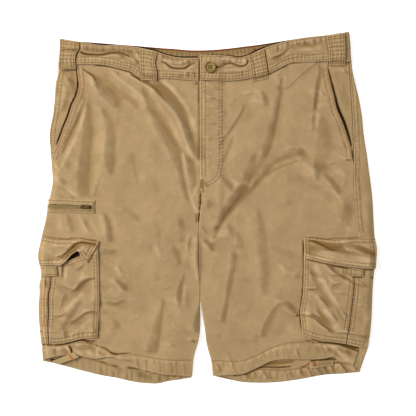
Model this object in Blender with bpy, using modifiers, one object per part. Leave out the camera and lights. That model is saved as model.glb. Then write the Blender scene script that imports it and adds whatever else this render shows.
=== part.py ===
"""Cargo shorts lying flat with the front side up.

+X runs across the hips to the viewer's right, +Y up to the waist and +Z up from the surface that the
shorts lie on. The tables are in millimetres, measured from the middle of the garment, and each cloth
piece is a grid fitted between its four edges, laid on the layer below and given its wall.
"""

import math
from collections import namedtuple

import bmesh
import bpy
import numpy as np
from mathutils import Vector

MM = 0.001

# Walls, bottom layer first.
BACK_WALL = 1.2
FACING_WALL = 1.2
FRONT_WALL = 1.3
BAND_WALL = 2.0
POCKET_WALL = 1.3
FLAP_WALL = 1.8
LOOP_WALL = 1.6
TAPE_WALL = 1.1
WELT_WALL = 1.2
HEM_EXTRA = 1.0  # a turned hem is two layers thick
GAP = 0.3

# Heights of the front panels' underside over the surface, at the sides and inside them.
SIDE_LOW = 1.5
SLASH_LOW = 3.0
HEM_LOW = 2.6
BODY_HIGH = 4.0
BAND_HIGH = 3.6
HEM_HIGH = HEM_LOW + 0.4
SIDE_ROLL = 11.0  # the sides round over in this distance

# Where the layers change height: a place up or across the body, and the length of the change.
HEM_FROM, HEM_OVER = -215, 14
SLASH_FROM, SLASH_OVER = 60, 35
BAND_FROM, BAND_OVER = 205, 20
BAND_LOOSE_FROM, BAND_LOOSE_OVER = 4, 10  # from below the band's lower edge
FLY_EDGE, FLY_OVER = 30, 12
FLY_FOOT, FLY_FOOT_OVER = -24, 26
POCKET_INNER, POCKET_INNER_OVER = 158, 14
POCKET_OUTER, POCKET_OUTER_OVER = 278, 12
POCKET_FOOT, POCKET_FOOT_OVER = -224, 14
POCKET_HEM_FROM = -200
FLAP_FROM, FLAP_OVER = -52, 14
HEM_TURN, HEM_TURN_OVER = 5, 8  # below the stitched line of a front hem
BACK_HEM_FROM, BACK_HEM_DROP, BACK_HEM_MIDDLE, BACK_HEM_OVER = -228, 0.07, 150, 10

# How far one layer stands off the one below.
FLY_LIFT = 1.9
BAND_LIFT = 0.9
LOOP_LIFT = 2.2
POCKET_LIFT = 2.0
HEM_LIFT = 0.6

LOOP_TACK = 5.0  # each end of a belt loop is sewn down flat over this length
BACK_HEM_TOP = BACK_WALL + HEM_EXTRA

KHAKI = (0.42, 0.28, 0.13)
KHAKI_INSIDE = (0.36, 0.24, 0.11)
OLIVE = (0.16, 0.13, 0.06)
BRASS = (0.3, 0.24, 0.12)

# The sides of the garment as it lies, each row a height up the body and where the side is there.
LEFT_SIDE = [
    (280, -243), (250, -245), (228, -246), (219, -248), (208, -251), (188, -252.5), (153, -256),
    (130, -260.5), (118, -261.5), (98, -260), (69, -258), (43, -256.5), (20, -260.5), (0, -265),
    (-20, -268), (-40, -273), (-60, -276.5), (-83, -279.5), (-99, -276.5), (-112, -275.5),
    (-125, -278), (-142, -278), (-162, -279.5), (-195, -278), (-226, -274.5), (-253, -272.5),
]
RIGHT_SIDE = [
    (289, 234), (269, 236), (249, 237), (224, 240), (208, 243.5), (176, 251), (153, 255), (122, 258),
    (99, 261.5), (76, 265), (39, 270), (10, 273), (-20, 274.5), (-50, 276.5), (-71, 279.5),
    (-89, 278), (-106, 275.5), (-135, 273), (-172, 271.5), (-205, 269), (-231, 265), (-251, 258),
    (-271, 251),
]
# The side seam on the right lies on the front, because the back panel wraps round to it.
RIGHT_SEAM = [
    (289, 228), (240, 234.5), (224, 235), (161, 239), (112, 241), (72, 242), (54, 241), (33, 241.5),
    (11, 243), (-17, 245), (-41, 248), (-70, 251), (-119, 252.5), (-168, 252.5), (-218, 251),
    (-240, 248.5), (-262, 243),
]

# Edges that two pieces share, left to right or top to bottom.
BAND_BACK_FOOT = [(-247, 238), (-145, 228), (-60, 221), (0, 219), (60, 222), (120, 232), (238, 241)]
# The waistband's lower edge, where it is sewn to the left and the right front.
BAND_FOOT_LEFT = [
    (-246.5, 231), (-206, 236.5), (-167, 234.5), (-144, 229), (-125, 223.5), (-110, 215), (-78, 213.5),
    (-64, 213), (-39, 211), (-14.5, 209),
]
BAND_FOOT_RIGHT = [
    (-12.5, 210.5), (18, 209.5), (43, 209.5), (70, 213.5), (87, 217), (103, 222), (124, 232.5),
    (136, 238.5), (169, 240), (199, 241.5), (228, 241),
]
SLASH_LEFT = [
    (-215, 231), (-213, 214), (-212, 202), (-216, 185), (-223.5, 169), (-228.5, 153), (-237, 132.5),
    (-245, 111), (-252, 97), (-257.5, 82),
]
SLASH_RIGHT = [
    (198.5, 231.5), (200.5, 219), (204, 203), (209, 184), (212.5, 166.5), (223, 141), (231.5, 115),
    (236.5, 100), (238.5, 84),
]
# The upper stitched line of the front hems.
HEM_LINE = [
    (-276, -225), (-219, -222), (-182, -227), (-158, -238), (-113, -243.5), (-78, -249.5), (-26, -252),
    (7, -252), (66, -250.5), (88, -240), (114, -228), (205, -224.5), (262, -231),
]
CROTCH = (-11, 4)
FLY_LAP = -13  # the right front's fly edge
INSEAM_LEFT = [
    (-12.5, -3), (-15, -24), (-15, -86), (-13.5, -152), (-12, -182), (-12.5, -201.5), (-15.5, -221),
    (-21.5, -241),
]
INSEAM_RIGHT = [
    (-11.5, -4), (-13.2, -25), (-13.2, -86), (-11.7, -152), (-7.5, -182), (-4.5, -201.5), (-2, -222.5),
    (1.5, -237), (5.5, -251),
]

Panel = namedtuple("Panel", "top left right bottom cells")
Fold = namedtuple("Fold", "start middle end reach rise")
FOLD_STEPS = 12
FOLD_FADE = 0.25  # the share of a fold's length over which each end fades

# Folds of the two front panels. A positive rise is a ridge, a negative one a trough.
FRONT_FOLDS = [
    Fold((-110, 214), (-70, 186), (-38, 158), 13, -2.0),
    Fold((-40, 162), (-30, 135), (-17, 96), 9, -1.8),
    Fold((-141, 214), (-105, 188), (-82, 145), 14, 3.0),
    Fold((-84, 150), (-52, 108), (-32, 30), 13, 3.2),
    Fold((-182, 218), (-172, 191), (-154, 165), 12, -1.8),
    Fold((-200, 211), (-203, 171), (-240, 80), 9, 2.6),
    Fold((-193, 170), (-199, 95), (-202, 28), 14, -1.9),
    Fold((-174, 162), (-156, 112), (-163, 52), 11, -1.5),
    Fold((-40, 76), (-33, 22), (-19, -24), 8, 2.2),
    Fold((-176, -150), (-144, -157), (-124, -137), 10, -1.6),
    Fold((-73, -150), (-92, -193), (-110, -233), 13, -1.8),
    Fold((-41, -104), (-50, -135), (-54, -166), 9, -1.5),
    Fold((-190, 10), (-150, -60), (-110, -130), 40, 1.6),
    Fold((121, 206), (106, 145), (88, 92), 13, -2.2),
    Fold((90, 96), (73, 59), (48, 18), 12, -2.0),
    Fold((102, 64), (58, 23), (10, -44), 12, -2.2),
    Fold((122, 62), (70, 8), (22, -48), 14, 3.6),
    Fold((186, 240), (181, 186), (177, 120), 8, -2.0),
    Fold((196, 224), (191, 178), (189, 124), 9, 2.2),
    Fold((90, 52), (136, 86), (176, 74), 14, 3.0),
    Fold((171, 161), (177, 95), (182, 32), 12, -1.7),
    Fold((44, 183), (73, 192), (97, 180), 9, -1.5),
    Fold((48, 156), (73, 166), (98, 158), 14, 1.8),
    Fold((57, 155), (39, 127), (22, 102), 8, -1.7),
    Fold((49, -33), (39, -102), (27, -177), 10, -1.6),
    Fold((82, -4), (88, -70), (95, -152), 12, -1.8),
    Fold((90, -194), (122, -159), (152, -182), 12, -2.0),
    Fold((227, 66), (222, 13), (217, -48), 10, -1.6),
]
BAND_FOLDS = [
    Fold((-215, 254), (-172, 254), (-128, 247), 8, 1.8),
    Fold((-200, 246), (-165, 245), (-130, 238), 7, -0.9),
    Fold((-78, 245), (-52, 238), (-20, 243), 8, 1.6),
    Fold((-76, 232), (-50, 228), (-18, 232), 8, 1.4),
    Fold((28, 243), (48, 241), (66, 246), 8, 1.6),
    Fold((138, 262), (126, 254), (112, 243), 9, 1.4),
]
POCKET_FOLDS = [
    Fold((-181, -116), (-206, -121), (-240, -145), 11, -1.4),
    Fold((-186, -141), (-210, -152), (-234, -172), 11, 1.5),
    Fold((-182, -170), (-204, -173), (-224, -192), 11, -1.4),
    Fold((176, -99), (194, -144), (220, -195), 11, 1.8),
    Fold((160, -120), (176, -150), (200, -180), 10, -1.2),
    Fold((156, -178), (182, -177), (207, -206), 10, -1.4),
]
FLAP_FOLDS = [
    Fold((-178, -62), (-222, -66), (-256, -84), 11, 3.6),
    Fold((-214, -86), (-204, -80), (-190, -66), 9, 2.0),
    Fold((160, -66), (206, -78), (276, -78), 14, 2.6),
]


def ease(share):
    share = np.clip(share, 0.0, 1.0)
    return share * share * (3.0 - 2.0 * share)


def above(place, start, over):
    """0 up to start, and 1 from start + over on."""
    return ease((place - start) / over)


def below(place, start, over):
    """0 down to start, and 1 from start - over on."""
    return ease((start - place) / over)


def smooth_line(points, count):
    """count points, evenly spaced by length, along a smooth line through the given ones."""
    knots = np.array(points, float)
    if len(knots) == 2:
        return knots[0] + np.linspace(0, 1, count)[:, None] * (knots[1] - knots[0])
    at = np.concatenate([[0], np.cumsum(np.linalg.norm(np.diff(knots, axis=0), axis=1))])
    slope = np.gradient(knots, at, axis=0)
    fine = np.linspace(0, at[-1], 12 * len(knots))
    k = np.clip(np.searchsorted(at, fine, side="right") - 1, 0, len(knots) - 2)
    span = (at[k + 1] - at[k])[:, None]
    t = (fine[:, None] - at[k][:, None]) / span
    line = (
        (2 * t**3 - 3 * t**2 + 1) * knots[k]
        + (t**3 - 2 * t**2 + t) * span * slope[k]
        + (3 * t**2 - 2 * t**3) * knots[k + 1]
        + (t**3 - t**2) * span * slope[k + 1]
    )
    run = np.concatenate([[0], np.cumsum(np.linalg.norm(np.diff(line, axis=0), axis=1))])
    even = np.linspace(0, run[-1], count)
    return np.column_stack([np.interp(even, run, line[:, 0]), np.interp(even, run, line[:, 1])])


def side_at(table, y):
    """Where the side in that table lies at height y."""
    rows = np.array(table[::-1], float)
    return np.interp(y, rows[:, 0], rows[:, 1])


def side_points(table, top, bottom, inset=0.0):
    """The table's own points between two heights, moved in from the side."""
    return [(x + inset, y) for y, x in table if bottom < y < top]


def shifted(points, dx=0.0, dy=0.0):
    return [(x + dx, y + dy) for x, y in points]


def fitted(panel):
    """The panel's points, as x and y arrays of one row for each station down it."""
    across, down = panel.cells
    top, bottom = smooth_line(panel.top, across + 1), smooth_line(panel.bottom, across + 1)
    left = smooth_line([panel.top[0], *panel.left, panel.bottom[0]], down + 1)
    right = smooth_line([panel.top[-1], *panel.right, panel.bottom[-1]], down + 1)
    u = np.linspace(0, 1, across + 1)[None, :, None]
    v = np.linspace(0, 1, down + 1)[:, None, None]
    corners = (
        (1 - u) * (1 - v) * top[0] + u * (1 - v) * top[-1] + (1 - u) * v * bottom[0] + u * v * bottom[-1]
    )
    points = (1 - v) * top[None] + v * bottom[None] + (1 - u) * left[:, None] + u * right[:, None] - corners
    return points[..., 0], points[..., 1]


def fold_height(folds, x, y):
    """The folds' height at each point, each fold fading to nothing at its ends and its reach."""
    height = np.zeros_like(x)
    for fold in folds:
        start, middle, end = (np.array(p, float) for p in fold[:3])
        control = 2 * middle - (start + end) / 2
        t = np.linspace(0, 1, FOLD_STEPS + 1)[:, None]
        line = (1 - t) ** 2 * start + 2 * t * (1 - t) * control + t**2 * end
        nearest, share = np.full(x.shape, 1e9), np.zeros(x.shape)
        for k, (a, b) in enumerate(zip(line[:-1], line[1:])):
            d = b - a
            s = np.clip(((x - a[0]) * d[0] + (y - a[1]) * d[1]) / (d @ d), 0, 1)
            away = np.hypot(x - a[0] - s * d[0], y - a[1] - s * d[1])
            closer = away < nearest
            nearest = np.where(closer, away, nearest)
            share = np.where(closer, (k + s) / FOLD_STEPS, share)
        across = 0.5 + 0.5 * np.cos(math.pi * np.minimum(nearest / fold.reach, 1))
        height += fold.rise * across * ease(np.minimum(share, 1 - share) / FOLD_FADE)
    return height


def front_under(x, y):
    """The underside of the front panels."""
    in_hem = below(y, HEM_FROM, HEM_OVER)
    at_slash = above(y, SLASH_FROM, SLASH_OVER)
    in_band = above(y, BAND_FROM, BAND_OVER)
    low = SIDE_LOW + (SLASH_LOW - SIDE_LOW) * at_slash + (HEM_LOW - SIDE_LOW) * in_hem
    high = BODY_HIGH + (BAND_HIGH - BODY_HIGH) * in_band + (HEM_HIGH - BODY_HIGH) * in_hem
    inside = np.minimum(x - side_at(LEFT_SIDE, y), side_at(RIGHT_SIDE, y) - x)
    rolled = ease(inside / SIDE_ROLL)
    height = low + (high - low) * rolled + fold_height(FRONT_FOLDS, x, y) * rolled * (1 - in_hem)
    return np.maximum(height, low)


def front_wall(x, y):
    """One layer, and two within the depth of the hem, whose upper line follows the leg's lower edge."""
    line = np.array(HEM_LINE, float)
    hem_y = np.interp(x, line[:, 0], line[:, 1])
    return FRONT_WALL + HEM_EXTRA * below(y, hem_y - HEM_TURN, HEM_TURN_OVER)


def front_top(x, y):
    return front_under(x, y) + front_wall(x, y)


def back_wall(x, y):
    """One layer, and two within the depth of the hem, which hangs lower towards the middle of each leg."""
    hem_y = BACK_HEM_FROM - BACK_HEM_DROP * (BACK_HEM_MIDDLE - np.abs(x))
    return BACK_WALL + HEM_EXTRA * below(y, hem_y, BACK_HEM_OVER)


def fly_lift(x, y):
    """The right front lies over the left one along the fly, as far as its J-shaped stitching."""
    return FLY_LIFT * below(x, FLY_EDGE, FLY_OVER) * above(y, FLY_FOOT, FLY_FOOT_OVER)


def band_under(x, y):
    """The waistband's underside, sewn down along its lower edge and loose above it."""
    foot = np.array(BAND_FOOT_LEFT + BAND_FOOT_RIGHT[1:], float)
    loose = above(y, np.interp(x, foot[:, 0], foot[:, 1]) - BAND_LOOSE_FROM, BAND_LOOSE_OVER)
    lap = fly_lift(x, y) * (x > FLY_LAP)
    return front_top(x, y) + GAP + lap + loose * np.maximum(0, BAND_LIFT + fold_height(BAND_FOLDS, x, y))


def band_top(x, y):
    return band_under(x, y) + BAND_WALL


def pocket_under(x, y):
    """The cargo pockets stand a little proud of the legs between their stitched edges."""
    side = np.abs(x)
    puff = (
        above(side, POCKET_INNER, POCKET_INNER_OVER)
        * below(side, POCKET_OUTER, POCKET_OUTER_OVER)
        * above(y, POCKET_FOOT, POCKET_FOOT_OVER)
    )
    lift = POCKET_LIFT * puff + fold_height(POCKET_FOLDS, x, y) * puff
    over_hem = HEM_LIFT * below(y, POCKET_HEM_FROM, HEM_OVER)
    return front_top(x, y) + GAP + over_hem + np.maximum(0, lift)


def pocket_top(x, y):
    return pocket_under(x, y) + POCKET_WALL


def flap_under(x, y):
    on_pocket = below(y, FLAP_FROM, FLAP_OVER)
    folds = np.maximum(0, fold_height(FLAP_FOLDS, x, y))
    low = front_top(x, y) + GAP
    return low + (pocket_top(x, y) + 2 * GAP - low) * on_pocket + folds * on_pocket


def material(name, colour, roughness, metallic=0.0):
    made = bpy.data.materials.new(name)
    made.use_nodes = True
    shader = made.node_tree.nodes["Principled BSDF"]
    shader.inputs["Base Color"].default_value = (*colour, 1)
    shader.inputs["Roughness"].default_value = roughness
    shader.inputs["Metallic"].default_value = metallic
    return made


def keep(obj, colour, roughness=0.85, metallic=0.0):
    """Gives the piece its own material and puts it in the garment's collection."""
    obj.data.materials.append(material(obj.name, colour, roughness, metallic))
    for holder in list(obj.users_collection):
        holder.objects.unlink(obj)
    GARMENT.objects.link(obj)
    return obj


def flat_grid(name, across, down):
    bpy.ops.mesh.primitive_grid_add(x_subdivisions=across, y_subdivisions=down, size=1)
    obj = bpy.context.object
    obj.name = obj.data.name = name
    return obj


def grid_places(mesh, across, down):
    """Each vertex with its column and its row from the top."""
    for vert in mesh.verts:
        yield vert, round((vert.co.x + 0.5) * across), round((0.5 - vert.co.y) * down)


def lay_cloth(name, panel, under, wall, colour, is_open=None):
    """A cloth piece fitted to its panel: its underside lies on under, and its wall stands on that."""
    across, down = panel.cells
    x, y = fitted(panel)
    low = under(x, y)
    high = low + (wall(x, y) if callable(wall) else wall)
    obj = flat_grid(name, across, down)
    mesh = bmesh.new()
    mesh.from_mesh(obj.data)
    tops = {}
    for vert, i, j in grid_places(mesh, across, down):
        vert.co = Vector((x[j, i], y[j, i], low[j, i])) * MM
        tops[vert.co.to_tuple(7)] = high[j, i] * MM
    if is_open:
        mesh.faces.ensure_lookup_table()
        gone = [f for f in mesh.faces if is_open(f.index % across, down - 1 - f.index // across)]
        bmesh.ops.delete(mesh, geom=gone, context="FACES")
    raised = bmesh.ops.extrude_face_region(mesh, geom=mesh.faces[:], use_keep_orig=True)["geom"]
    for vert in (v for v in raised if isinstance(v, bmesh.types.BMVert)):
        vert.co.z = tops[vert.co.to_tuple(7)]
    bmesh.ops.recalc_face_normals(mesh, faces=mesh.faces[:])
    mesh.to_mesh(obj.data)
    mesh.free()
    obj.data.shade_smooth()
    obj.data.set_sharp_from_angle(angle=math.radians(50))
    return keep(obj, colour)


def lay_wrapped(name, panel, wall, wall_lift, colour, strip_cells=3, roll_cells=6):
    """A back piece whose right side rolls round the fold and returns over the front to the side seam."""
    across, down = panel.cells
    x, y = fitted(panel)
    total = across + roll_cells + strip_cells
    obj = flat_grid(name, total, down)
    mesh = bmesh.new()
    mesh.from_mesh(obj.data)
    middle = wall / 2
    for vert, i, j in grid_places(mesh, total, down):
        if i <= across:
            vert.co = Vector((x[j, i], y[j, i], middle)) * MM
            continue
        fold_x, fold_y = x[j, across], y[j, across]
        seam_x = side_at(RIGHT_SEAM, fold_y)
        top = front_under(np.array(fold_x), np.array(fold_y)) + middle + wall_lift
        radius = (top - middle) / 2
        if i <= across + roll_cells:
            turn = math.pi * (i - across) / roll_cells
            place = (fold_x + radius * math.sin(turn), fold_y, middle + radius * (1 - math.cos(turn)))
        else:
            share = (i - across - roll_cells) / strip_cells
            strip_x = fold_x + (seam_x - fold_x) * share
            strip_y = fold_y + (fold_x - strip_x) * (j / down) ** 8
            height = front_under(np.array(strip_x), np.array(strip_y)) + middle + wall_lift
            place = (strip_x, strip_y, height)
        vert.co = Vector(place) * MM
    mesh.to_mesh(obj.data)
    mesh.free()
    solid = obj.modifiers.new("wall", "SOLIDIFY")
    solid.thickness = wall * MM
    solid.offset = 0
    obj.data.shade_smooth()
    return keep(obj, colour)


def roll_inset(wall, wall_lift):
    """How far in from the side the fold line of a wrapped piece lies, for each row of the side's table."""
    points = []
    for y, x in RIGHT_SIDE:
        top = front_under(np.array(float(x)), np.array(float(y))) + wall_lift
        points.append((y, x - float(top) / 2 - wall / 2))
    return points


def back_panels():
    hem_left = [
        (-272.5, -253), (-251, -257.5), (-230, -263), (-204, -270), (-177, -276.5), (-146, -282),
        (-125, -287), (-102, -290), (-79, -290), (-67, -287), (-47, -284), (-27, -280.5),
    ]
    hem_right = [
        (14, -278.5), (35, -283.5), (56, -287.5), (93, -289), (125, -287), (153, -283), (196, -275.5),
        (221, -274),
    ]
    left_top = [p for p in shifted(BAND_BACK_FOOT, dy=-GAP) if p[0] < -30] + [(-0.5, 218.5)]
    left = Panel(
        left_top,
        side_points(LEFT_SIDE, 228, -250),
        [(-0.5, 120), (-3, 40), CROTCH, *shifted(INSEAM_LEFT, dx=0.3)],
        hem_left,
        (14, 16),
    )
    lay_cloth("back_left", left, lambda x, y: 0 * x, back_wall, KHAKI_INSIDE)
    fold = roll_inset(BACK_WALL, 0.0)
    right_top = [(0, 218.5)] + [p for p in shifted(BAND_BACK_FOOT, dy=-GAP) if 30 < p[0] < 200]
    right_top.append((float(side_at(fold, 240.5)), 240.5))
    right = Panel(
        right_top,
        [(0, 120), (-2.3, 40), (CROTCH[0] + 1, CROTCH[1]), *shifted(INSEAM_RIGHT, dx=0.3)],
        side_points(fold, 235, -268),
        [*hem_right, (float(side_at(fold, -271)), -271.5)],
        (14, 16),
    )
    lay_wrapped("back_right", right, BACK_WALL, 0.0, KHAKI_INSIDE)


def front_panels():
    left = Panel(
        [
            (-214.5, 243), (-168, 240), (-144, 235), (-125, 229), (-110, 221), (-78, 219.5),
            (-40, 217), (-4, 216),
        ],
        [*SLASH_LEFT, *side_points(LEFT_SIDE, 75, -245, 0.5)],
        [(-4, 150), (-4, 80), (-6, 40), (-9.5, 14), *INSEAM_LEFT],
        [
            (-267, -249.5), (-236, -243.5), (-209, -244.5), (-190, -249), (-151, -248), (-137, -257),
            (-115, -265), (-97, -269.5), (-73, -275), (-50, -276.5), (-25.5, -278.5),
        ],
        (26, 36),
    )
    lay_cloth("front_left", left, front_under, front_wall, KHAKI)
    right = Panel(
        [
            (-12.5, 216), (43, 216), (70, 219.5), (103, 228), (124, 238), (136, 244.5), (169, 246),
            (200, 246),
        ],
        [(-12.5, 150), (-12.5, 77), (-12, 50), (-11, 30), (-11, 8), *INSEAM_RIGHT],
        [*SLASH_RIGHT, *side_points(RIGHT_SEAM, 75, -250, -1.4)],
        [
            (8.5, -277.5), (40, -276), (59, -274), (72, -269), (88, -261.5), (103, -254), (117, -251),
            (153, -250.5), (192, -249.5), (210, -246.5), (219, -254), (234, -257.5), (241, -260.5),
        ],
        (26, 36),
    )
    lay_cloth("front_right", right, lambda x, y: front_under(x, y) + fly_lift(x, y), front_wall, KHAKI)


def pocket_facings():
    """The cloth behind each slanted hand pocket, from its opening out to the side seam."""
    left = Panel(
        [(-246, 234), (-206, 231.5)],
        [*side_points(LEFT_SIDE, 232, 95, 0.3)],
        [(-206, 215), (-205, 198), (-208, 180), (-216, 160), (-226, 140), (-236, 118)],
        [(-259.5, 92), (-247, 92)],
        (5, 12),
    )
    lay_cloth("pocket_facing_left", left, lambda x, y: BACK_WALL + GAP + 0 * x, FACING_WALL, KHAKI)
    right = Panel(
        [(192, 235), (233.5, 238.5)],
        [(193, 225), (197, 203), (202, 184), (206, 166), (216, 141), (225, 115)],
        side_points(RIGHT_SEAM, 235, 100, -0.8),
        [(230, 94), (240.5, 94)],
        (5, 12),
    )
    lay_cloth("pocket_facing_right", right, lambda x, y: BACK_WALL + GAP + 0 * x, FACING_WALL, KHAKI)


def waistband():
    back_top = [
        (-242.5, 279.5), (-209, 274.5), (-144, 269.5), (-106, 266.5), (-78, 264), (-54, 262.5),
        (-31, 260.5), (-1, 260.5), (27, 262.5), (57, 266), (85, 269.5), (120, 275), (169, 282.5),
        (195, 285), (222, 289.5),
    ]
    lift = FRONT_WALL + GAP + BAND_LIFT - (BAND_WALL - BACK_WALL) / 2
    fold = roll_inset(BAND_WALL, lift)
    back = Panel(
        [*back_top, (float(side_at(fold, 289)), 290)],
        [(-245, 250)],
        side_points(fold, 280, 245),
        [*BAND_BACK_FOOT[:-1], (float(side_at(fold, 241)), 241)],
        (28, 3),
    )
    lay_wrapped("waistband_back", back, BAND_WALL, lift, KHAKI_INSIDE, strip_cells=1)
    left = Panel(
        [
            (-242.5, 279), (-209, 273.5), (-172, 267.5), (-144, 268), (-108, 263), (-88, 258.5),
            (-68, 252), (-50, 248), (-14.5, 247),
        ],
        [(-244.5, 255)],
        [(-14.5, 228)],
        BAND_FOOT_LEFT,
        (30, 5),
    )
    lay_cloth("waistband_left", left, band_under, BAND_WALL, KHAKI)
    right = Panel(
        [
            (-12.5, 252), (9, 251.5), (37, 250), (54, 247.5), (66, 251), (92, 262.5), (120, 272),
            (141, 277), (169, 281.5), (195, 284.5), (226, 289),
        ],
        [(-12.5, 230)],
        [(227.5, 265)],
        BAND_FOOT_RIGHT,
        (30, 5),
    )
    lay_cloth("waistband_right", right, band_under, BAND_WALL, KHAKI)


def belt_loops():
    """Four loops, each a strip sewn down above and below the waistband and standing off it between."""
    corners = [
        ((-243, 277), (-211, 272), (-216, 228), (-245, 226)),
        ((-111.5, 261.5), (-82.5, 255.5), (-83.5, 208), (-110, 210)),
        ((67, 251), (93, 262), (100, 212), (74, 208)),
        ((196, 282.5), (226.5, 287), (228, 236.5), (200, 233.5)),
    ]
    for number, (top_left, top_right, low_right, low_left) in enumerate(corners, 1):
        high, low = (top_left[1] + top_right[1]) / 2, (low_left[1] + low_right[1]) / 2

        def under(x, y, high=high, low=low):
            share = np.clip((y - low) / (high - low), 0, 1)
            flat = np.clip(y, low + LOOP_TACK, high - LOOP_TACK)
            rise = LOOP_LIFT * np.sin(math.pi * share) ** 2
            return np.maximum(band_top(x, flat), band_top(x, y)) + GAP + rise

        panel = Panel([top_left, top_right], [], [], [low_left, low_right], (3, 8))
        lay_cloth(f"belt_loop_{number}", panel, under, LOOP_WALL, KHAKI)


def cargo_pockets():
    """Each pocket is a front and a narrow side panel, parted by a slit between their stitched edges."""
    left_slit = [(-257.5, -116), (-260, -133), (-262, -152), (-261.5, -172), (-262.5, -196)]
    right_slit = [(242, -117), (241, -136), (238, -162), (235.5, -184), (232, -203)]
    left = Panel(
        [(-256, -92), (-234, -89), (-211, -79), (-181, -73)],
        shifted(left_slit, dx=0.8),
        [(-180.5, -86), (-179, -114), (-178, -152), (-180, -190)],
        [(-260.5, -224), (-248, -224.5), (-230, -222), (-207, -216), (-181.5, -214)],
        (11, 16),
    )
    lay_cloth("cargo_pocket_left", left, pocket_under, POCKET_WALL, KHAKI)
    left_side = Panel(
        [(-277, -92), (-257.5, -92)],
        side_points(LEFT_SIDE, -92, -222, 0.3),
        shifted(left_slit, dx=-0.8),
        [(-274.5, -224), (-262, -224)],
        (3, 16),
    )
    lay_cloth("pocket_side_left", left_side, pocket_under, POCKET_WALL, KHAKI)
    right = Panel(
        [(159, -78), (195, -86), (241, -92)],
        [(159, -90), (158.5, -118), (157, -148), (153, -172), (154.5, -188)],
        shifted(right_slit, dx=-0.6),
        [(157, -209.5), (181, -217.5), (206, -221.5), (228.5, -224.5)],
        (11, 16),
    )
    lay_cloth("cargo_pocket_right", right, pocket_under, POCKET_WALL, KHAKI)
    right_side = Panel(
        [(242.5, -92), (277.5, -92)],
        shifted(right_slit, dx=0.6),
        side_points(RIGHT_SIDE, -95, -226, -0.3),
        [(230, -225), (258, -230.5), (265, -230)],
        (4, 16),
    )
    lay_cloth("pocket_side_right", right_side, pocket_under, POCKET_WALL, KHAKI)


def cargo_flaps():
    left = Panel(
        [(-273.5, -45), (-248, -50), (-227, -50), (-198, -51.5), (-178, -54.5)],
        side_points(LEFT_SIDE, -50, -90),
        [(-181, -62), (-189, -75)],
        [
            (-277, -95), (-255, -94.5), (-240, -94), (-232, -87), (-222, -76), (-212.5, -71.5),
            (-208, -80), (-198, -90.5),
        ],
        (18, 7),
    )
    lay_cloth("cargo_flap_left", left, flap_under, FLAP_WALL, KHAKI)
    right = Panel(
        [(159, -51), (163, -48), (208, -51), (241, -49), (276.5, -49)],
        [(159.5, -66)],
        side_points(RIGHT_SIDE, -55, -98),
        [(159.5, -82), (196, -91), (232, -97), (256, -99.5), (276.5, -100.5)],
        (16, 7),
    )
    lay_cloth("cargo_flap_right", right, flap_under, FLAP_WALL, KHAKI)


def flap_tabs():
    """The fastening tabs that hang below each flap's edge."""

    def under(x, y):
        return pocket_top(x, y) + 2 * GAP

    left = Panel([(-273.5, -96.5), (-248.5, -96)], [], [], [(-271, -113), (-246.5, -112)], (4, 3))
    lay_cloth("flap_tab_left", left, under, FLAP_WALL, KHAKI)
    right = Panel([(233.5, -98.5), (257, -101)], [], [], [(232.5, -111), (256.5, -113.5)], (4, 3))
    lay_cloth("flap_tab_right", right, under, FLAP_WALL, KHAKI)


TAPE_CLIMB_FROM, TAPE_CLIMB_OVER = -268, 14


def hem_tapes():
    """A short flat tape at each hem, the left one up over the front hem and the right one in the leg."""
    left = Panel([(-255, -246), (-215, -237)], [], [], [(-253, -256), (-213, -246.5)], (8, 2))

    def climb(x, y):
        on_hem = front_under(x, y) + FRONT_WALL + HEM_EXTRA + 2 * GAP
        start = BACK_HEM_TOP + GAP
        return start + (on_hem - start) * above(x, TAPE_CLIMB_FROM, TAPE_CLIMB_OVER)

    lay_cloth("hem_tape_left", left, climb, TAPE_WALL, KHAKI)
    right = Panel([(169, -256), (208, -252)], [], [], [(169.5, -265.5), (209, -261)], (8, 2))
    lay_cloth("hem_tape_right", right, lambda x, y: BACK_WALL + GAP + 0 * x, TAPE_WALL, KHAKI)


# The zip pocket on the left thigh, closed, with its slider at the right end.
ZIP_LEFT, ZIP_RIGHT, WELT_RIGHT = -263, -188, -185.5
ZIP_HEIGHT = 2.2
SLIDER_X, SLIDER_LENGTH, SLIDER_WIDTH, SLIDER_DEPTH = -206.5, 8.0, 5.6, 1.6
BAIL_INNER, BAIL_OUTER, BAIL_WIDTH = 1.2, 2.0, 1.6
BAIL_ROOM, BAIL_TOP, BAIL_ROOT = 1.6, 0.8, 0.6
PULL_BAR = 0.5
PULL_EYE = 3.0
PULL_LENGTH, PULL_WIDTH = 11.0, 4.6


def zip_level():
    """The highest that the front panel stands under the slider."""
    xs, ys = np.meshgrid(np.linspace(SLIDER_X - 6, SLIDER_X + 14, 21), np.linspace(-6, 10, 17))
    return float(front_top(xs, ys).max())


def zip_pocket():
    tape = Panel(
        [(ZIP_LEFT, 7.5), (ZIP_RIGHT, 5.5)], [], [], [(ZIP_LEFT, -1.5), (ZIP_RIGHT, -2.5)], (12, 2)
    )
    lay_cloth("zip_tape", tape, lambda x, y: front_top(x, y) + GAP, TAPE_WALL, OLIVE)
    top, bottom = [(ZIP_LEFT, 15), (WELT_RIGHT, 12.5)], [(ZIP_LEFT, -7.5), (WELT_RIGHT, -9)]
    welt = Panel(top, [], [], bottom, (14, 3))
    lay_cloth(
        "zip_welt",
        welt,
        lambda x, y: front_top(x, y) + TAPE_WALL + 2 * GAP,
        WELT_WALL,
        KHAKI,
        is_open=lambda i, j: j == 1 and i < 13,
    )


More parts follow.
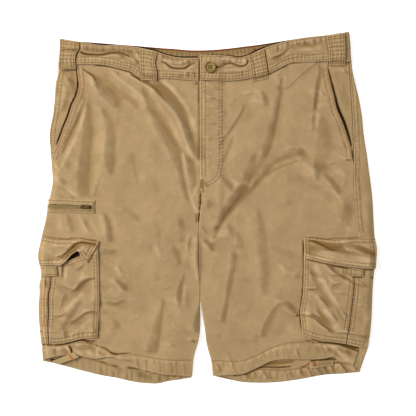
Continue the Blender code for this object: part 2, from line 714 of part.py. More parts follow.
def box(name, low, high, bevel=0.0):
    """A block between two corners in millimetres, in the garment's frame."""
    bpy.ops.mesh.primitive_cube_add(size=1)
    obj = bpy.context.object
    obj.name = obj.data.name = name
    low, high = Vector(low), Vector(high)
    for vert in obj.data.vertices:
        vert.co = Vector(a + (c + 0.5) * (b - a) for a, b, c in zip(low, high, vert.co)) * MM
    if bevel:
        edge = obj.modifiers.new("edge", "BEVEL")
        edge.width, edge.segments = bevel * MM, 2
    return obj


def combine(obj, other, operation):
    """Joins or cuts obj with a helper, which stays as a hidden guide."""
    change = obj.modifiers.new(other.name, "BOOLEAN")
    change.operation, change.object = operation, other
    change.solver = "EXACT"
    other.hide_render = True
    other.display_type = "WIRE"
    for holder in list(other.users_collection):
        holder.objects.unlink(other)
    HELPERS.objects.link(other)


def zip_slider():
    """The slider, with a bail on top, and the pull tab whose crossbar turns in the bail."""
    base = zip_level() + TAPE_WALL + 2 * GAP
    deck = base + SLIDER_DEPTH
    axis_z = deck + BAIL_ROOM / 2
    half = SLIDER_LENGTH / 2
    x, y = SLIDER_X, ZIP_HEIGHT
    slider = box(
        "zip_slider",
        (x - half, y - SLIDER_WIDTH / 2, base),
        (x + half, y + SLIDER_WIDTH / 2, deck),
        bevel=0.5,
    )
    bail = box(
        "bail_block",
        (x - BAIL_OUTER, y - BAIL_WIDTH / 2, deck - BAIL_ROOT),
        (x + BAIL_OUTER, y + BAIL_WIDTH / 2, deck + BAIL_ROOM + BAIL_TOP),
    )
    room = box(
        "bail_room",
        (x - BAIL_INNER, y - BAIL_WIDTH, deck),
        (x + BAIL_INNER, y + BAIL_WIDTH, deck + BAIL_ROOM),
    )
    combine(bail, room, "DIFFERENCE")
    combine(slider, bail, "UNION")
    keep(slider, BRASS, 0.4, 1.0)
    pull = box(
        "zip_pull",
        (x - PULL_BAR, y - PULL_WIDTH / 2, axis_z - PULL_BAR),
        (x + PULL_LENGTH, y + PULL_WIDTH / 2, axis_z + PULL_BAR),
        bevel=0.3,
    )
    eye = box(
        "pull_eye",
        (x + PULL_BAR, y - BAIL_WIDTH / 2 - GAP, axis_z - 2 * PULL_BAR),
        (x + PULL_EYE, y + BAIL_WIDTH / 2 + GAP, axis_z + 2 * PULL_BAR),
    )
    combine(pull, eye, "DIFFERENCE")
    keep(pull, BRASS, 0.4, 1.0)
    hinge = bpy.data.objects.new("pull_hinge", None)
    hinge.location = Vector((x, y, axis_z)) * MM
    GARMENT.objects.link(hinge)
    bpy.context.view_layer.update()
    pull.parent = hinge
    pull.matrix_parent_inverse = hinge.matrix_world.inverted()


BUTTON_AT = (3.8, 231.5)
BUTTON_RADIUS = 9.5
HOLE_RADIUS, HOLE_SPREAD, HOLE_DEPTH = 0.9, 1.9, 8.0
# The turned outline of the button from the middle of its dished face round the rim to its back.
BUTTON_PROFILE = [
    (0, 2.0), (6.0, 2.0), (6.9, 2.9), (8.4, 3.0), (9.3, 2.3), (9.5, 1.4), (8.8, 0.3), (7.6, 0.0),
    (0, 0.0),
]


def button():
    xs, ys = np.meshgrid(
        np.linspace(BUTTON_AT[0] - BUTTON_RADIUS, BUTTON_AT[0] + BUTTON_RADIUS, 13),
        np.linspace(BUTTON_AT[1] - BUTTON_RADIUS, BUTTON_AT[1] + BUTTON_RADIUS, 13),
    )
    base = float(band_top(xs, ys).max()) + GAP
    mesh = bmesh.new()
    verts = [mesh.verts.new(Vector((r, 0, z)) * MM) for r, z in BUTTON_PROFILE]
    for a, b in zip(verts[:-1], verts[1:]):
        mesh.edges.new((a, b))
    data = bpy.data.meshes.new("button")
    mesh.to_mesh(data)
    mesh.free()
    obj = bpy.data.objects.new("button", data)
    bpy.context.scene.collection.objects.link(obj)
    obj.location = Vector((*BUTTON_AT, base)) * MM
    turn = obj.modifiers.new("turned", "SCREW")
    turn.steps = turn.render_steps = 24
    turn.use_merge_vertices = True
    turn.merge_threshold = 0.00002
    turn.use_normal_calculate = True
    for number, (dx, dy) in enumerate(((1, 1), (1, -1), (-1, 1), (-1, -1)), 1):
        bpy.ops.mesh.primitive_cylinder_add(vertices=8, radius=HOLE_RADIUS * MM, depth=HOLE_DEPTH * MM)
        hole = bpy.context.object
        hole.name = f"thread_hole_{number}"
        place = (BUTTON_AT[0] + HOLE_SPREAD * dx, BUTTON_AT[1] + HOLE_SPREAD * dy, base)
        hole.location = Vector(place) * MM
        combine(obj, hole, "DIFFERENCE")
    return keep(obj, OLIVE, 0.35)


for old in list(bpy.data.objects):
    bpy.data.objects.remove(old, do_unlink=True)
GARMENT = bpy.data.collections.new("cargo_shorts")
HELPERS = bpy.data.collections.new("helpers")
for folder in (GARMENT, HELPERS):
    bpy.context.scene.collection.children.link(folder)

back_panels()
pocket_facings()
front_panels()
waistband()
belt_loops()
cargo_pockets()
cargo_flaps()
flap_tabs()
hem_tapes()
zip_pocket()
zip_slider()
button()
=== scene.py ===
"""Khaki cargo shorts lying flat, front side up: the cloth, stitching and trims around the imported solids.

The tables are in millimetres from the middle of the garment, +X to the viewer's right and +Y up to the
waist. Each cloth piece is a grid fitted between its four edges. Its folds, seams and puckers come from
fields, which are heights worked out once on a 1 mm raster of the whole garment.
"""

import math
from collections import namedtuple

import bmesh
import bpy
import numpy as np
from mathutils import Matrix, Vector


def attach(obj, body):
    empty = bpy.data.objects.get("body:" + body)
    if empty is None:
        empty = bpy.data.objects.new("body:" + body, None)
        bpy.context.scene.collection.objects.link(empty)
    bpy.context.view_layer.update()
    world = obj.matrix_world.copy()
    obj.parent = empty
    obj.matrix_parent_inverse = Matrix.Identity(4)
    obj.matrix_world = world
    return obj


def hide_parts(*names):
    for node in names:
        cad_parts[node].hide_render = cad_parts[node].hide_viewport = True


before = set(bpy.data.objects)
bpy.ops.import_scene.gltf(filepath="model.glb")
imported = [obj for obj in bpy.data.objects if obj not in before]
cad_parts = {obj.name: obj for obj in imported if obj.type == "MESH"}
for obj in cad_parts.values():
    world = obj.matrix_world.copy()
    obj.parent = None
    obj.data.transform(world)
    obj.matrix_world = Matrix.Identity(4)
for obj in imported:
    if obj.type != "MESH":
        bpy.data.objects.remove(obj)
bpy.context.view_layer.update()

MM = 0.001

# ---- Sizes: walls, layers and where they change height, as the solids have them ----

BACK_WALL = 1.2
FACING_WALL = 1.2
FRONT_WALL = 1.1
BAND_WALL = 1.8
POCKET_WALL = 1.2
FLAP_WALL = 1.6
LOOP_WALL = 1.2
TAPE_WALL = 1.0
HEM_EXTRA = 1.1  # a turned hem is two layers thick
GAP = 0.3

SIDE_LOW = 1.5
SLASH_LOW = 3.0
HEM_LOW = 2.6
BODY_HIGH = 4.4
BAND_HIGH = 3.6
HEM_HIGH = 3.2
SIDE_ROLL = 11.0

HEM_FROM, HEM_OVER = -215, 14
SLASH_FROM, SLASH_OVER = 60, 35
BAND_FROM, BAND_OVER = 205, 20
BAND_LOOSE_FROM, BAND_LOOSE_OVER = 4, 10
FLY_EDGE, FLY_OVER = 30, 12
FLY_FOOT, FLY_FOOT_OVER = -24, 26
POCKET_INNER, POCKET_INNER_OVER = 158, 14
POCKET_OUTER, POCKET_OUTER_OVER = 278, 12
POCKET_FOOT, POCKET_FOOT_OVER = -224, 14
POCKET_HEM_FROM = -200
FLAP_FROM, FLAP_OVER = -52, 14
HEM_TURN, HEM_TURN_OVER = 2, 3
BACK_HEM_FROM, BACK_HEM_DROP, BACK_HEM_MIDDLE, BACK_HEM_OVER = -228, 0.07, 150, 10

FLY_LIFT = 1.9
BAND_LIFT = 2.0
LOOP_LIFT = 0.5
POCKET_LIFT = 1.4
FLAP_RISE = 1.0
HEM_LIFT = 0.6
BACK_HEM_TOP = BACK_WALL + HEM_EXTRA

# ---- Edges of the garment as it lies ----

LEFT_SIDE = [
    (280, -243), (250, -245), (228, -246), (219, -248), (208, -251), (188, -252.5), (153, -256),
    (130, -260.5), (118, -261.5), (98, -260), (69, -258), (43, -256.5), (20, -260.5), (0, -265),
    (-20, -268), (-40, -273), (-60, -276.5), (-83, -279.5), (-99, -276.5), (-112, -275.5),
    (-125, -278), (-142, -278), (-162, -279.5), (-195, -278), (-226, -274.5), (-253, -272.5),
]
RIGHT_SIDE = [
    (289, 234), (269, 236), (249, 237), (224, 240), (208, 243.5), (176, 251), (153, 255), (122, 258),
    (99, 261.5), (76, 265), (39, 270), (10, 273), (-20, 274.5), (-50, 276.5), (-71, 279.5),
    (-89, 278), (-106, 275.5), (-135, 273), (-172, 271.5), (-205, 269), (-231, 265), (-251, 258),
    (-271, 251),
]
RIGHT_SEAM = [
    (289, 228), (240, 234.5), (224, 235), (161, 239), (112, 241), (72, 242), (54, 241), (33, 241.5),
    (11, 243), (-17, 245), (-41, 248), (-70, 251), (-119, 252.5), (-168, 252.5), (-218, 251),
    (-240, 248.5), (-262, 243),
]
BAND_BACK_FOOT = [(-247, 238), (-145, 228), (-60, 221), (0, 219), (60, 222), (120, 232), (238, 241)]
BAND_FOOT_LEFT = [
    (-246.5, 231), (-206, 236.5), (-167, 234.5), (-144, 229), (-125, 223.5), (-110, 215), (-78, 213.5),
    (-64, 213), (-39, 211), (-14.5, 209),
]
BAND_FOOT_RIGHT = [
    (-12.5, 210.5), (18, 209.5), (43, 209.5), (70, 213.5), (87, 217), (103, 222), (124, 232.5),
    (136, 238.5), (169, 240), (199, 241.5), (228, 241),
]
BAND_FOOT = BAND_FOOT_LEFT + BAND_FOOT_RIGHT[1:]
BAND_END = [(292, 226.8), (262, 227.8), (230, 228.6)]  # the seam at the right side of the waistband
BAND_TOP_LEFT = [
    (-242.5, 279), (-209, 273.5), (-172, 267.5), (-144, 268), (-108, 263), (-88, 258.5),
    (-68, 252), (-50, 248), (-14.5, 247),
]
BAND_TOP_RIGHT = [
    (-12.5, 252), (9, 251.5), (37, 250), (54, 247.5), (66, 251), (92, 262.5), (120, 272),
    (141, 277), (169, 281.5), (195, 284.5), (226, 289),
]
BAND_TOP_BACK = [
    (-242.5, 279.5), (-209, 274.5), (-144, 269.5), (-106, 266.5), (-78, 264), (-54, 262.5),
    (-31, 260.5), (-1, 260.5), (27, 262.5), (57, 266), (85, 269.5), (120, 275), (169, 282.5),
    (195, 285), (222, 289.5),
]
SLASH_LEFT = [
    (-215, 231), (-213, 214), (-212, 202), (-216, 185), (-223.5, 169), (-228.5, 153), (-237, 132.5),
    (-245, 111), (-252, 97), (-257.5, 82),
]
SLASH_RIGHT = [
    (198.5, 231.5), (200.5, 219), (204, 203), (209, 184), (212.5, 166.5), (223, 141), (231.5, 115),
    (236.5, 100), (238.5, 84),
]
HEM_LINE_LEFT = [
    (-276, -225), (-219, -222), (-182, -227), (-158, -238), (-113, -243.5), (-78, -249.5), (-26, -252),
]
HEM_LINE_RIGHT = [
    (7, -252), (66, -250.5), (88, -240), (114, -228), (145, -225), (205, -224.5), (262, -231),
]
HEM_LINE = HEM_LINE_LEFT + HEM_LINE_RIGHT
CROTCH = (-11, 4)
FLY_LAP = -13
INSEAM_LEFT = [
    (-12, -3), (-14.2, -24), (-14.2, -86), (-12.7, -152), (-12, -182), (-12.5, -201.5), (-15.5, -221),
    (-21.5, -241),
]
INSEAM_RIGHT = [
    (-11.9, -4), (-14.1, -25), (-14.1, -86), (-12.4, -152), (-7.5, -182), (-4.5, -201.5), (-2, -222.5),
    (1.5, -237), (5.5, -251),
]
HEM_EDGE_LEFT = [
    (-267, -249.5), (-236, -243.5), (-209, -244.5), (-190, -249), (-151, -248), (-137, -257),
    (-115, -265), (-97, -269.5), (-73, -275), (-50, -276.5), (-25.5, -278.5),
]
HEM_EDGE_RIGHT = [
    (8.5, -277.5), (40, -276), (59, -274), (72, -269), (88, -261.5), (103, -254), (117, -251),
    (153, -250.5), (192, -249.5), (210, -246.5), (219, -254), (234, -257.5), (241, -260.5),
]
BACK_EDGE_LEFT = [
    (-272.5, -253), (-251, -257.5), (-230, -263), (-204, -270), (-177, -276.5), (-146, -282),
    (-125, -287), (-102, -290), (-79, -290), (-67, -287), (-47, -284), (-27, -280.5),
]
BACK_EDGE_RIGHT = [
    (14, -278.5), (35, -283.5), (56, -287.5), (93, -289), (125, -287), (153, -283), (196, -275.5),
    (221, -274),
]
# The stitched lines on the inside of the back hems.
BACK_HEM_LEFT = [(-250, -238), (-209, -245.5), (-188, -250), (-167, -257), (-146, -263), (-116, -265)]
BACK_HEM_RIGHT = [(60, -263), (82, -265), (114, -267), (153, -264), (190, -258), (220, -254)]
SLIT_LEFT = [(-257.5, -116), (-260, -133), (-262, -152), (-261.5, -172), (-262.5, -196)]
SLIT_RIGHT = [(242, -117), (241, -136), (238, -162), (235.5, -184), (232, -203)]
POCKET_EDGE_LEFT = [(-180.5, -76), (-179, -114), (-178, -152), (-180, -190), (-181.5, -213)]
POCKET_EDGE_RIGHT = [(159, -80), (158.5, -118), (157, -148), (153, -172), (154.5, -188), (157, -209)]
POCKET_FOOT_LEFT = [
    (-274.5, -224), (-260.5, -224), (-248, -224.5), (-230, -222), (-207, -216), (-181.5, -214),
]
POCKET_FOOT_RIGHT = [(157, -209.5), (181, -217.5), (206, -221.5), (228.5, -224.5), (258, -230.5)]
FLAP_TOP_LEFT = [(-273.5, -45), (-248, -50), (-227, -50), (-198, -51.5), (-178, -54.5)]
FLAP_EDGE_LEFT = [(-277, -95), (-255, -94.5), (-240, -94), (-232, -87), (-222, -76), (-212.5, -71.5)]
FLAP_CORNER_LEFT = [(-180, -57), (-189, -75), (-198, -90.5), (-208, -80), (-212.5, -71.5)]
FLAP_TOP_RIGHT = [(159, -51), (163, -48), (208, -51), (241, -49), (276.5, -49)]
FLAP_EDGE_RIGHT = [(159.5, -82), (196, -91), (232, -97), (256, -99.5), (276.5, -100.5)]
# Each belt loop's left and right edges, from the top.
LOOP_EDGES = [
    ([(-243, 278), (-243.5, 255), (-245, 227)], [(-211, 273), (-211.5, 261), (-215.5, 255), (-217, 229)]),
    ([(-111.5, 261.5), (-111.5, 240), (-110, 211)], [(-82.5, 256), (-86, 238), (-83.5, 225), (-83.5, 209)]),
    ([(67, 251), (69.5, 237), (74, 208.5)], [(93, 262), (94.5, 253), (98, 232), (100, 212.5)]),
    ([(196, 283), (199, 262), (200.5, 234.5)], [(226, 287.5), (226.5, 262), (227.5, 235)]),
]
FLY_STITCH = [(24, 207), (24, 130), (23, 66), (19, 50), (9, 41), (-2, 36)]

# ---- Folds ----

# A fold runs along a line. It reaches so far to its left and to its right, seen along the line, stands so
# high over the cloth (below it where negative), and is a sharp crease at crisp 1 and a soft one at 0.
Fold = namedtuple("Fold", "line left right rise crisp")

BAND_FOLDS = [
    Fold([(-205, 265), (-175, 261), (-150, 262), (-125, 257)], 7, 7, 1.6, 0),
    Fold([(-209, 255), (-193, 252), (-177, 252), (-158, 255), (-129, 249)], 3, 4, -3, 0.5),
    Fold([(-203, 245), (-170, 243), (-135, 240)], 5, 5, 0.8, 0),
    Fold([(-78, 247), (-60, 240), (-45, 238), (-30, 243), (-18, 244)], 5, 5, 1.8, 0),
    Fold([(-79, 240), (-72, 240), (-59, 231), (-45, 229), (-35, 230), (-28, 236), (-15, 238)], 3, 4, -3, 0.5),
    Fold([(-76, 228), (-50, 221), (-18, 226)], 5, 5, 1.0, 0),
    Fold([(16, 243), (35, 245), (52, 242), (64, 245)], 5, 4, 1.4, 0),
    Fold([(14, 232), (28, 237), (37, 239), (54, 233), (60, 234), (68, 240)], 3, 4, -3, 0.5),
    Fold([(16, 224), (40, 227), (68, 226)], 6, 6, 1.2, 0),
    Fold([(100, 244), (117, 249), (139, 264)], 4, 5, -1.6, 0.5),
    Fold([(104, 258), (125, 266), (150, 272), (190, 276)], 6, 7, 1.2, 0),
    Fold([(105, 232), (128, 243), (160, 250), (196, 252)], 3, 4, -1.0, 0.4),
]

# A facet is a strip of cloth that leans one way. It runs along a line of (x, y, half its width), leans so
# far towards the light (away from it where negative), as a slope, and each of its two edges, on the left
# and on the right of the line's run, turns into the next facet over so many millimetres.
Facet = namedtuple("Facet", "line lean soft")

LEFT_FACETS = [
    # beside the slanted pocket's welt
    Facet([(-200, 191, 2), (-203, 178, 3), (-205, 161, 3), (-210, 142, 3), (-218, 119, 3), (-230, 96, 3),
           (-240, 74, 3), (-245, 62, 2)], 0.34, (2, 1.5)),
    Facet([(-202, 190, 1.5), (-205, 171, 2.5), (-213, 152, 4), (-223, 132, 2.5), (-233, 110, 2.5),
           (-242, 87, 2)], -0.5, (1.5, 1.5)),
    # the folds that fall from the waist beside the pocket
    Facet([(-199, 178, 2.5), (-198, 161, 5.5), (-199, 145, 7.5), (-199, 128, 9), (-200, 112, 9),
           (-201, 96, 9), (-203, 79, 10), (-205, 62, 10), (-207, 46, 10.5), (-206, 30, 10.5),
           (-205, 14, 10)], -0.3, (3, 3)),
    Facet([(-190, 204, 5), (-189, 186, 5.5), (-185, 161, 6), (-181, 137, 7), (-179, 112, 8), (-180, 87, 8),
           (-182, 71, 7), (-187, 46, 5), (-192, 21, 3)], 0.18, (5, 5)),
    Facet([(-176, 170, 2.5), (-169, 153, 5), (-162, 137, 6.5), (-160, 120, 8), (-161, 104, 9), (-162, 87, 10),
           (-162, 71, 8), (-160, 49, 2.5)], -0.26, (4, 3)),
    Facet([(-202, 227, 1.5), (-194, 221, 1.8), (-187, 214, 2.5), (-184, 203, 3), (-178, 196, 3)], -0.5,
           (2, 1.5)),
    Facet([(-186, 219, 2.5), (-180, 204, 6), (-172, 193, 10), (-162, 183, 11), (-155, 173, 8),
           (-151, 161, 2.5)], -0.3, (2, 3)),
    Facet([(-198, 220, 3), (-193, 209, 3.5), (-190, 196, 3)], 0.2, (3, 2)),
    # the broad ridge from the waistband down to the fly
    Facet([(-167, 227, 6), (-156, 211, 8), (-141, 199, 8), (-126, 188, 8), (-113, 176, 8), (-105, 161, 7)],
          0.28, (3, 4)),
    Facet([(-105, 161, 6), (-95, 143, 7), (-85, 123, 7), (-75, 102, 6), (-65, 82, 4)], 0.14, (2, 7)),
    Facet([(-146, 189, 3), (-134, 181, 5), (-121, 171, 6), (-114, 158, 4)], -0.14, (3, 5)),
    Facet([(-123, 170, 3), (-119, 145, 4)], 0.1, (4, 4)),
    Facet([(-109, 204, 1.7), (-105, 186, 3), (-100, 170, 4), (-91, 153, 6), (-83, 137, 7.5), (-73, 120, 9),
           (-63, 104, 10), (-55, 87, 9), (-48, 71, 7.5), (-42, 54, 7.5), (-39, 38, 7.5), (-35, 21, 6.5),
           (-30, 8, 3)], -0.3, (4, 4)),
    Facet([(-100, 198, 2.5), (-90, 188, 6), (-81, 173, 8), (-72, 158, 10), (-62, 142, 10), (-52, 125, 9),
           (-44, 110, 8), (-34, 94, 5), (-24, 79, 4), (-16, 67, 2.5)], 0.32, (3, 3)),
    Facet([(-44, 99, 2.5), (-41, 79, 2.2), (-38, 59, 2.2), (-34, 39, 2.2), (-30, 21, 2.2), (-24, 3, 2.5),
           (-18, -12, 2)], 0.42, (1.5, 1.5)),
    Facet([(-39, 92, 2.5), (-32, 76, 5), (-27, 59, 6.5), (-24, 43, 5.5), (-22, 30, 3)], -0.3, (2, 2)),
    Facet([(-17, 41, 1.5), (-21, 29, 1.8), (-26, 16, 2)], 0.3, (1.5, 1.5)),
    # the deep trough from the second loop to the foot of the fly, and the ridge beyond it
    Facet([(-95, 208, 3), (-81, 198, 9), (-70, 186, 10), (-58, 173, 8), (-48, 160, 6.5), (-40, 143, 5.5),
           (-34, 127, 6.5), (-29, 110, 6.5), (-22, 94, 5.5), (-15, 77, 3)], -0.55, (2.5, 2.5)),
    Facet([(-130, 222, 2), (-112, 211, 3), (-95, 203, 4), (-84, 190, 3), (-75, 175, 2)], -0.4, (2, 2)),
    Facet([(-77, 211, 2.5), (-65, 198, 3), (-53, 183, 3.5), (-42, 170, 4), (-34, 155, 5), (-27, 138, 5),
           (-24, 123, 4)], 0.36, (4, 1.5)),
    Facet([(-60, 198, 2.5), (-45, 189, 3.5), (-32, 180, 3)], -0.16, (3, 3)),
    Facet([(-22, 207, 1.5), (-14, 204, 1.5)], -0.3, (1.5, 1.5)),
    Facet([(-16, 203, 2), (-15, 170, 2), (-15, 130, 2), (-15, 100, 3), (-14, 78, 2)], -0.4, (1, 3)),
    # across the middle
    Facet([(-129, 96, 3), (-124, 79, 4), (-121, 59, 4), (-114, 36, 3)], -0.14, (1.5, 6)),
    Facet([(-119, 67, 2.5), (-113, 54, 5), (-106, 38, 5)], 0.1, (5, 1.5)),
    Facet([(-177, 49, 1.5), (-182, 38, 3), (-186, 26, 3.5), (-189, 15, 3)], -0.22, (1.5, 2)),
    Facet([(-172, 54, 3), (-177, 39, 3), (-180, 21, 3)], 0.14, (4, 1.5)),
    Facet([(-98, 46, 3), (-86, 33, 4), (-76, 26, 3)], -0.08, (4, 4)),
    # the side above the zip
    Facet([(-227, 110, 2), (-218, 99, 2), (-217, 89, 1.5)], 0.14, (2, 2)),
    Facet([(-228, 93, 1.5), (-224, 88, 1.5), (-220, 87, 1.5)], -0.14, (2, 2)),
    Facet([(-233, 82, 4), (-232, 66, 6), (-232, 54, 3.5)], -0.12, (3, 3)),
    Facet([(-220, 79, 3.5), (-218, 59, 3.5)], 0.14, (1.5, 4)),
    Facet([(-248, 51, 2), (-240, 44, 5), (-233, 36, 3.5)], -0.26, (1.5, 1.5)),
    Facet([(-256, 74, 1.2), (-250, 66, 1.5), (-243, 57, 1.5)], 0.36, (1.2, 1.2)),
    Facet([(-243, 31, 1.5), (-230, 28, 2), (-217, 18, 2)], 0.26, (1.5, 1.5)),
    Facet([(-233, 23, 1.3), (-225, 18, 1.5), (-217, 13, 1.5)], -0.26, (1.5, 1.5)),
    Facet([(-197, 21, 1.2), (-192, 14, 1.2)], -0.3, (1.2, 1.2)),
    # between the zip and the flap
    Facet([(-248, -12, 4), (-243, -45, 4)], 0.16, (3, 3)),
    Facet([(-233, -8, 3), (-227, -28, 5), (-223, -45, 4)], -0.22, (2, 3)),
    Facet([(-216, -10, 2.5), (-208, -28, 3), (-200, -44, 2.5)], 0.22, (2, 2)),
    Facet([(-206, -14, 2.5), (-200, -30, 3), (-196, -44, 2.5)], -0.22, (2, 2)),
    Facet([(-196, -20, 2.5), (-188, -34, 3), (-182, -46, 2.5)], 0.24, (2, 2)),
    Facet([(-182, -7, 3), (-176, -28, 4), (-172, -45, 3)], 0.22, (3, 3)),
    Facet([(-172, -8, 2.5), (-167, -20, 4), (-164, -36, 5), (-162, -50, 6), (-156, -58, 2.5)], -0.28, (2, 2)),
    Facet([(-164, -5, 2.5), (-157, -20, 3.5), (-151, -45, 4)], 0.14, (3, 2)),
    # the thigh
    Facet([(-181, -69, 6), (-167, -71, 6), (-148, -71, 2)], -0.22, (2, 3)),
    Facet([(-148, -2, 4), (-131, -8, 5), (-118, -17, 5), (-111, -26, 2.5)], -0.16, (3, 5)),
    Facet([(-91, -12, 3), (-85, -33, 5), (-83, -53, 4)], -0.12, (4, 4)),
    Facet([(-91, -58, 2.5), (-85, -73, 4), (-78, -89, 2.5)], 0.22, (2, 3)),
    Facet([(-83, -50, 1.5), (-78, -66, 2)], -0.14, (2, 2)),
    Facet([(-96, -58, 1.5), (-91, -73, 1.5)], -0.14, (2, 2)),
    Facet([(-60, -59, 3.5), (-53, -74, 5), (-49, -89, 5), (-45, -99, 2.5)], -0.22, (2, 4)),
    Facet([(-45, -12, 3.5), (-44, -28, 5.5), (-42, -45, 6), (-42, -61, 4)], -0.22, (2, 2)),
    Facet([(-35, -40, 2.5), (-36, -66, 4), (-39, -89, 6)], 0.16, (3, 3)),
    Facet([(-27, -40, 2), (-30, -56, 2.5), (-34, -76, 2)], -0.3, (1.5, 1.5)),
    Facet([(-24, -45, 2.5), (-25, -69, 4), (-27, -89, 5), (-22, -106, 4), (-17, -122, 2.5)], 0.24, (2, 3)),
    Facet([(-39, -104, 1.2), (-42, -119, 3), (-46, -135, 5), (-48, -152, 5), (-46, -167, 2)], -0.32, (2, 2)),
    Facet([(-39, -119, 2), (-40, -139, 2), (-42, -160, 2)], 0.2, (2, 1)),
    Facet([(-77, -137, 1.5), (-65, -131, 2.5), (-55, -125, 1.5)], -0.2, (3, 1.5)),
    Facet([(-62, -144, 6.5), (-58, -160, 8), (-55, -182, 7)], 0.12, (3, 4)),
    Facet([(-32, -130, 3.5), (-34, -152, 4), (-32, -172, 4)], -0.12, (3, 3)),
    Facet([(-73, -147, 2), (-77, -168, 4), (-82, -188, 6.5), (-86, -210, 8), (-91, -229, 10), (-93, -243, 8)],
          -0.3, (2, 5)),
    Facet([(-78, -152, 2.5), (-90, -168, 5), (-95, -185, 5)], 0.1, (3, 5)),
    Facet([(-90, -99, 3.5), (-86, -111, 5), (-88, -124, 4)], -0.12, (4, 4)),
    Facet([(-157, -96, 3), (-149, -106, 4), (-144, -116, 2.5)], 0.24, (2, 3)),
    Facet([(-146, -96, 1.5), (-141, -107, 1.8)], -0.22, (2, 1.5)),
    Facet([(-136, -106, 2), (-129, -121, 2)], 0.16, (3, 2)),
    Facet([(-156, -114, 2), (-147, -124, 4), (-138, -132, 4.5), (-133, -142, 2.5)], -0.32, (3, 2)),
    Facet([(-172, -139, 4), (-157, -137, 8), (-142, -142, 6)], 0.22, (3, 3)),
    Facet([(-175, -149, 1.5), (-166, -155, 3), (-154, -158, 3.5), (-142, -154, 3), (-133, -149, 1.5)],
          -0.26, (1.5, 3)),
    Facet([(-174, -157, 2.5), (-169, -167, 3.5)], 0.22, (2, 2)),
    Facet([(-174, -168, 1.5), (-166, -175, 1.5)], -0.18, (2, 2)),
    Facet([(-159, -182, 2.5), (-151, -193, 5), (-144, -201, 3)], -0.18, (3, 3)),
    Facet([(-131, -185, 2), (-119, -183, 2), (-108, -178, 2)], -0.14, (3, 2)),
    Facet([(-171, -188, 5), (-167, -210, 6)], 0.14, (4, 4)),
    # the puffed loop and the folds at the corner of the hem
    Facet([(-250, -231, 1.2), (-243, -228.5, 1.4), (-236, -228.5, 1.4), (-230, -233, 1.8),
           (-227.5, -241, 1.5)], 0.6, (1, 0.8)),
    Facet([(-246, -234, 3), (-237, -236, 4), (-233, -243, 2)], -0.3, (1.5, 1)),
    Facet([(-271, -228, 1), (-267, -239, 1.4), (-262, -250, 1)], 0.45, (0.8, 0.8)),
    Facet([(-257, -229, 1.5), (-254, -243, 2)], -0.3, (1.5, 1)),
    Facet([(-216, -228, 2), (-200, -226, 3), (-188, -231, 3)], -0.5, (1.5, 2)),
    Facet([(-213, -233, 1.5), (-199, -238, 2.5), (-188, -243, 2)], 0.25, (1.5, 2)),
    Facet([(-185, -227, 1), (-183.5, -236, 1.5), (-183, -246, 1.2)], 0.6, (0.8, 0.8)),
    Facet([(-180, -232, 2), (-178, -246, 2)], -0.3, (1, 2)),
    Facet([(-176, -238, 1.5), (-168, -244, 2.5), (-156, -249, 1.5)], 0.5, (1.5, 1)),
    Facet([(-150, -246, 2), (-136, -251, 2.5), (-122, -251, 2)], -0.3, (1.5, 2)),
    Facet([(205, -228, 3), (218, -233, 4), (238, -240, 3)], -0.45, (2, 2)),
    Facet([(212, -240, 2.5), (222, -247, 3), (236, -252, 2)], 0.45, (1.5, 2)),
    # creases in the right hem
    Facet([(31, -235, 1), (40, -255, 1.2)], -0.4, (1, 1)),
    Facet([(38, -249, 1), (43, -265, 1.2)], -0.35, (1, 1)),
    Facet([(14, -256, 1), (22, -270, 1.2)], -0.35, (1, 1)),
    Facet([(146, -232, 1), (152, -249, 1.2)], -0.4, (1, 1)),
    Facet([(194, -227, 1.5), (204, -238, 2.5)], -0.5, (1, 1)),
    Facet([(213, -232, 2), (218, -246, 2)], 0.4, (1.5, 1.5)),
    Facet([(-62, -197, 1), (-55, -203, 1)], -0.24, (1.2, 1.2)),
    Facet([(-56, -192, 1), (-49, -198, 1)], -0.22, (1.2, 1.2)),
    Facet([(-57, -207, 1), (-51, -211, 1)], -0.2, (1.2, 1.2)),
    Facet([(-65, -223, 2), (-52, -231, 2.5)], -0.24, (2, 2)),
    Facet([(-44, -200, 1.2), (-30, -211, 1.2)], -0.18, (1.2, 1.2)),
    Facet([(-29, -218, 1.5), (-19, -221, 1.5)], -0.45, (1.2, 1.2)),
    Facet([(-25, -213, 1.2), (-17, -215, 1.2)], 0.3, (1.2, 1.2)),
    Facet([(-14, -157, 1.5), (-17, -177, 4), (-19, -198, 6), (-17, -210, 4)], -0.42, (1.5, 4)),
    Facet([(-16, -40, 1.5), (-15, -61, 3), (-15, -86, 4), (-14, -106, 3), (-13, -127, 1.5)], -0.6, (1.5, 2)),
]
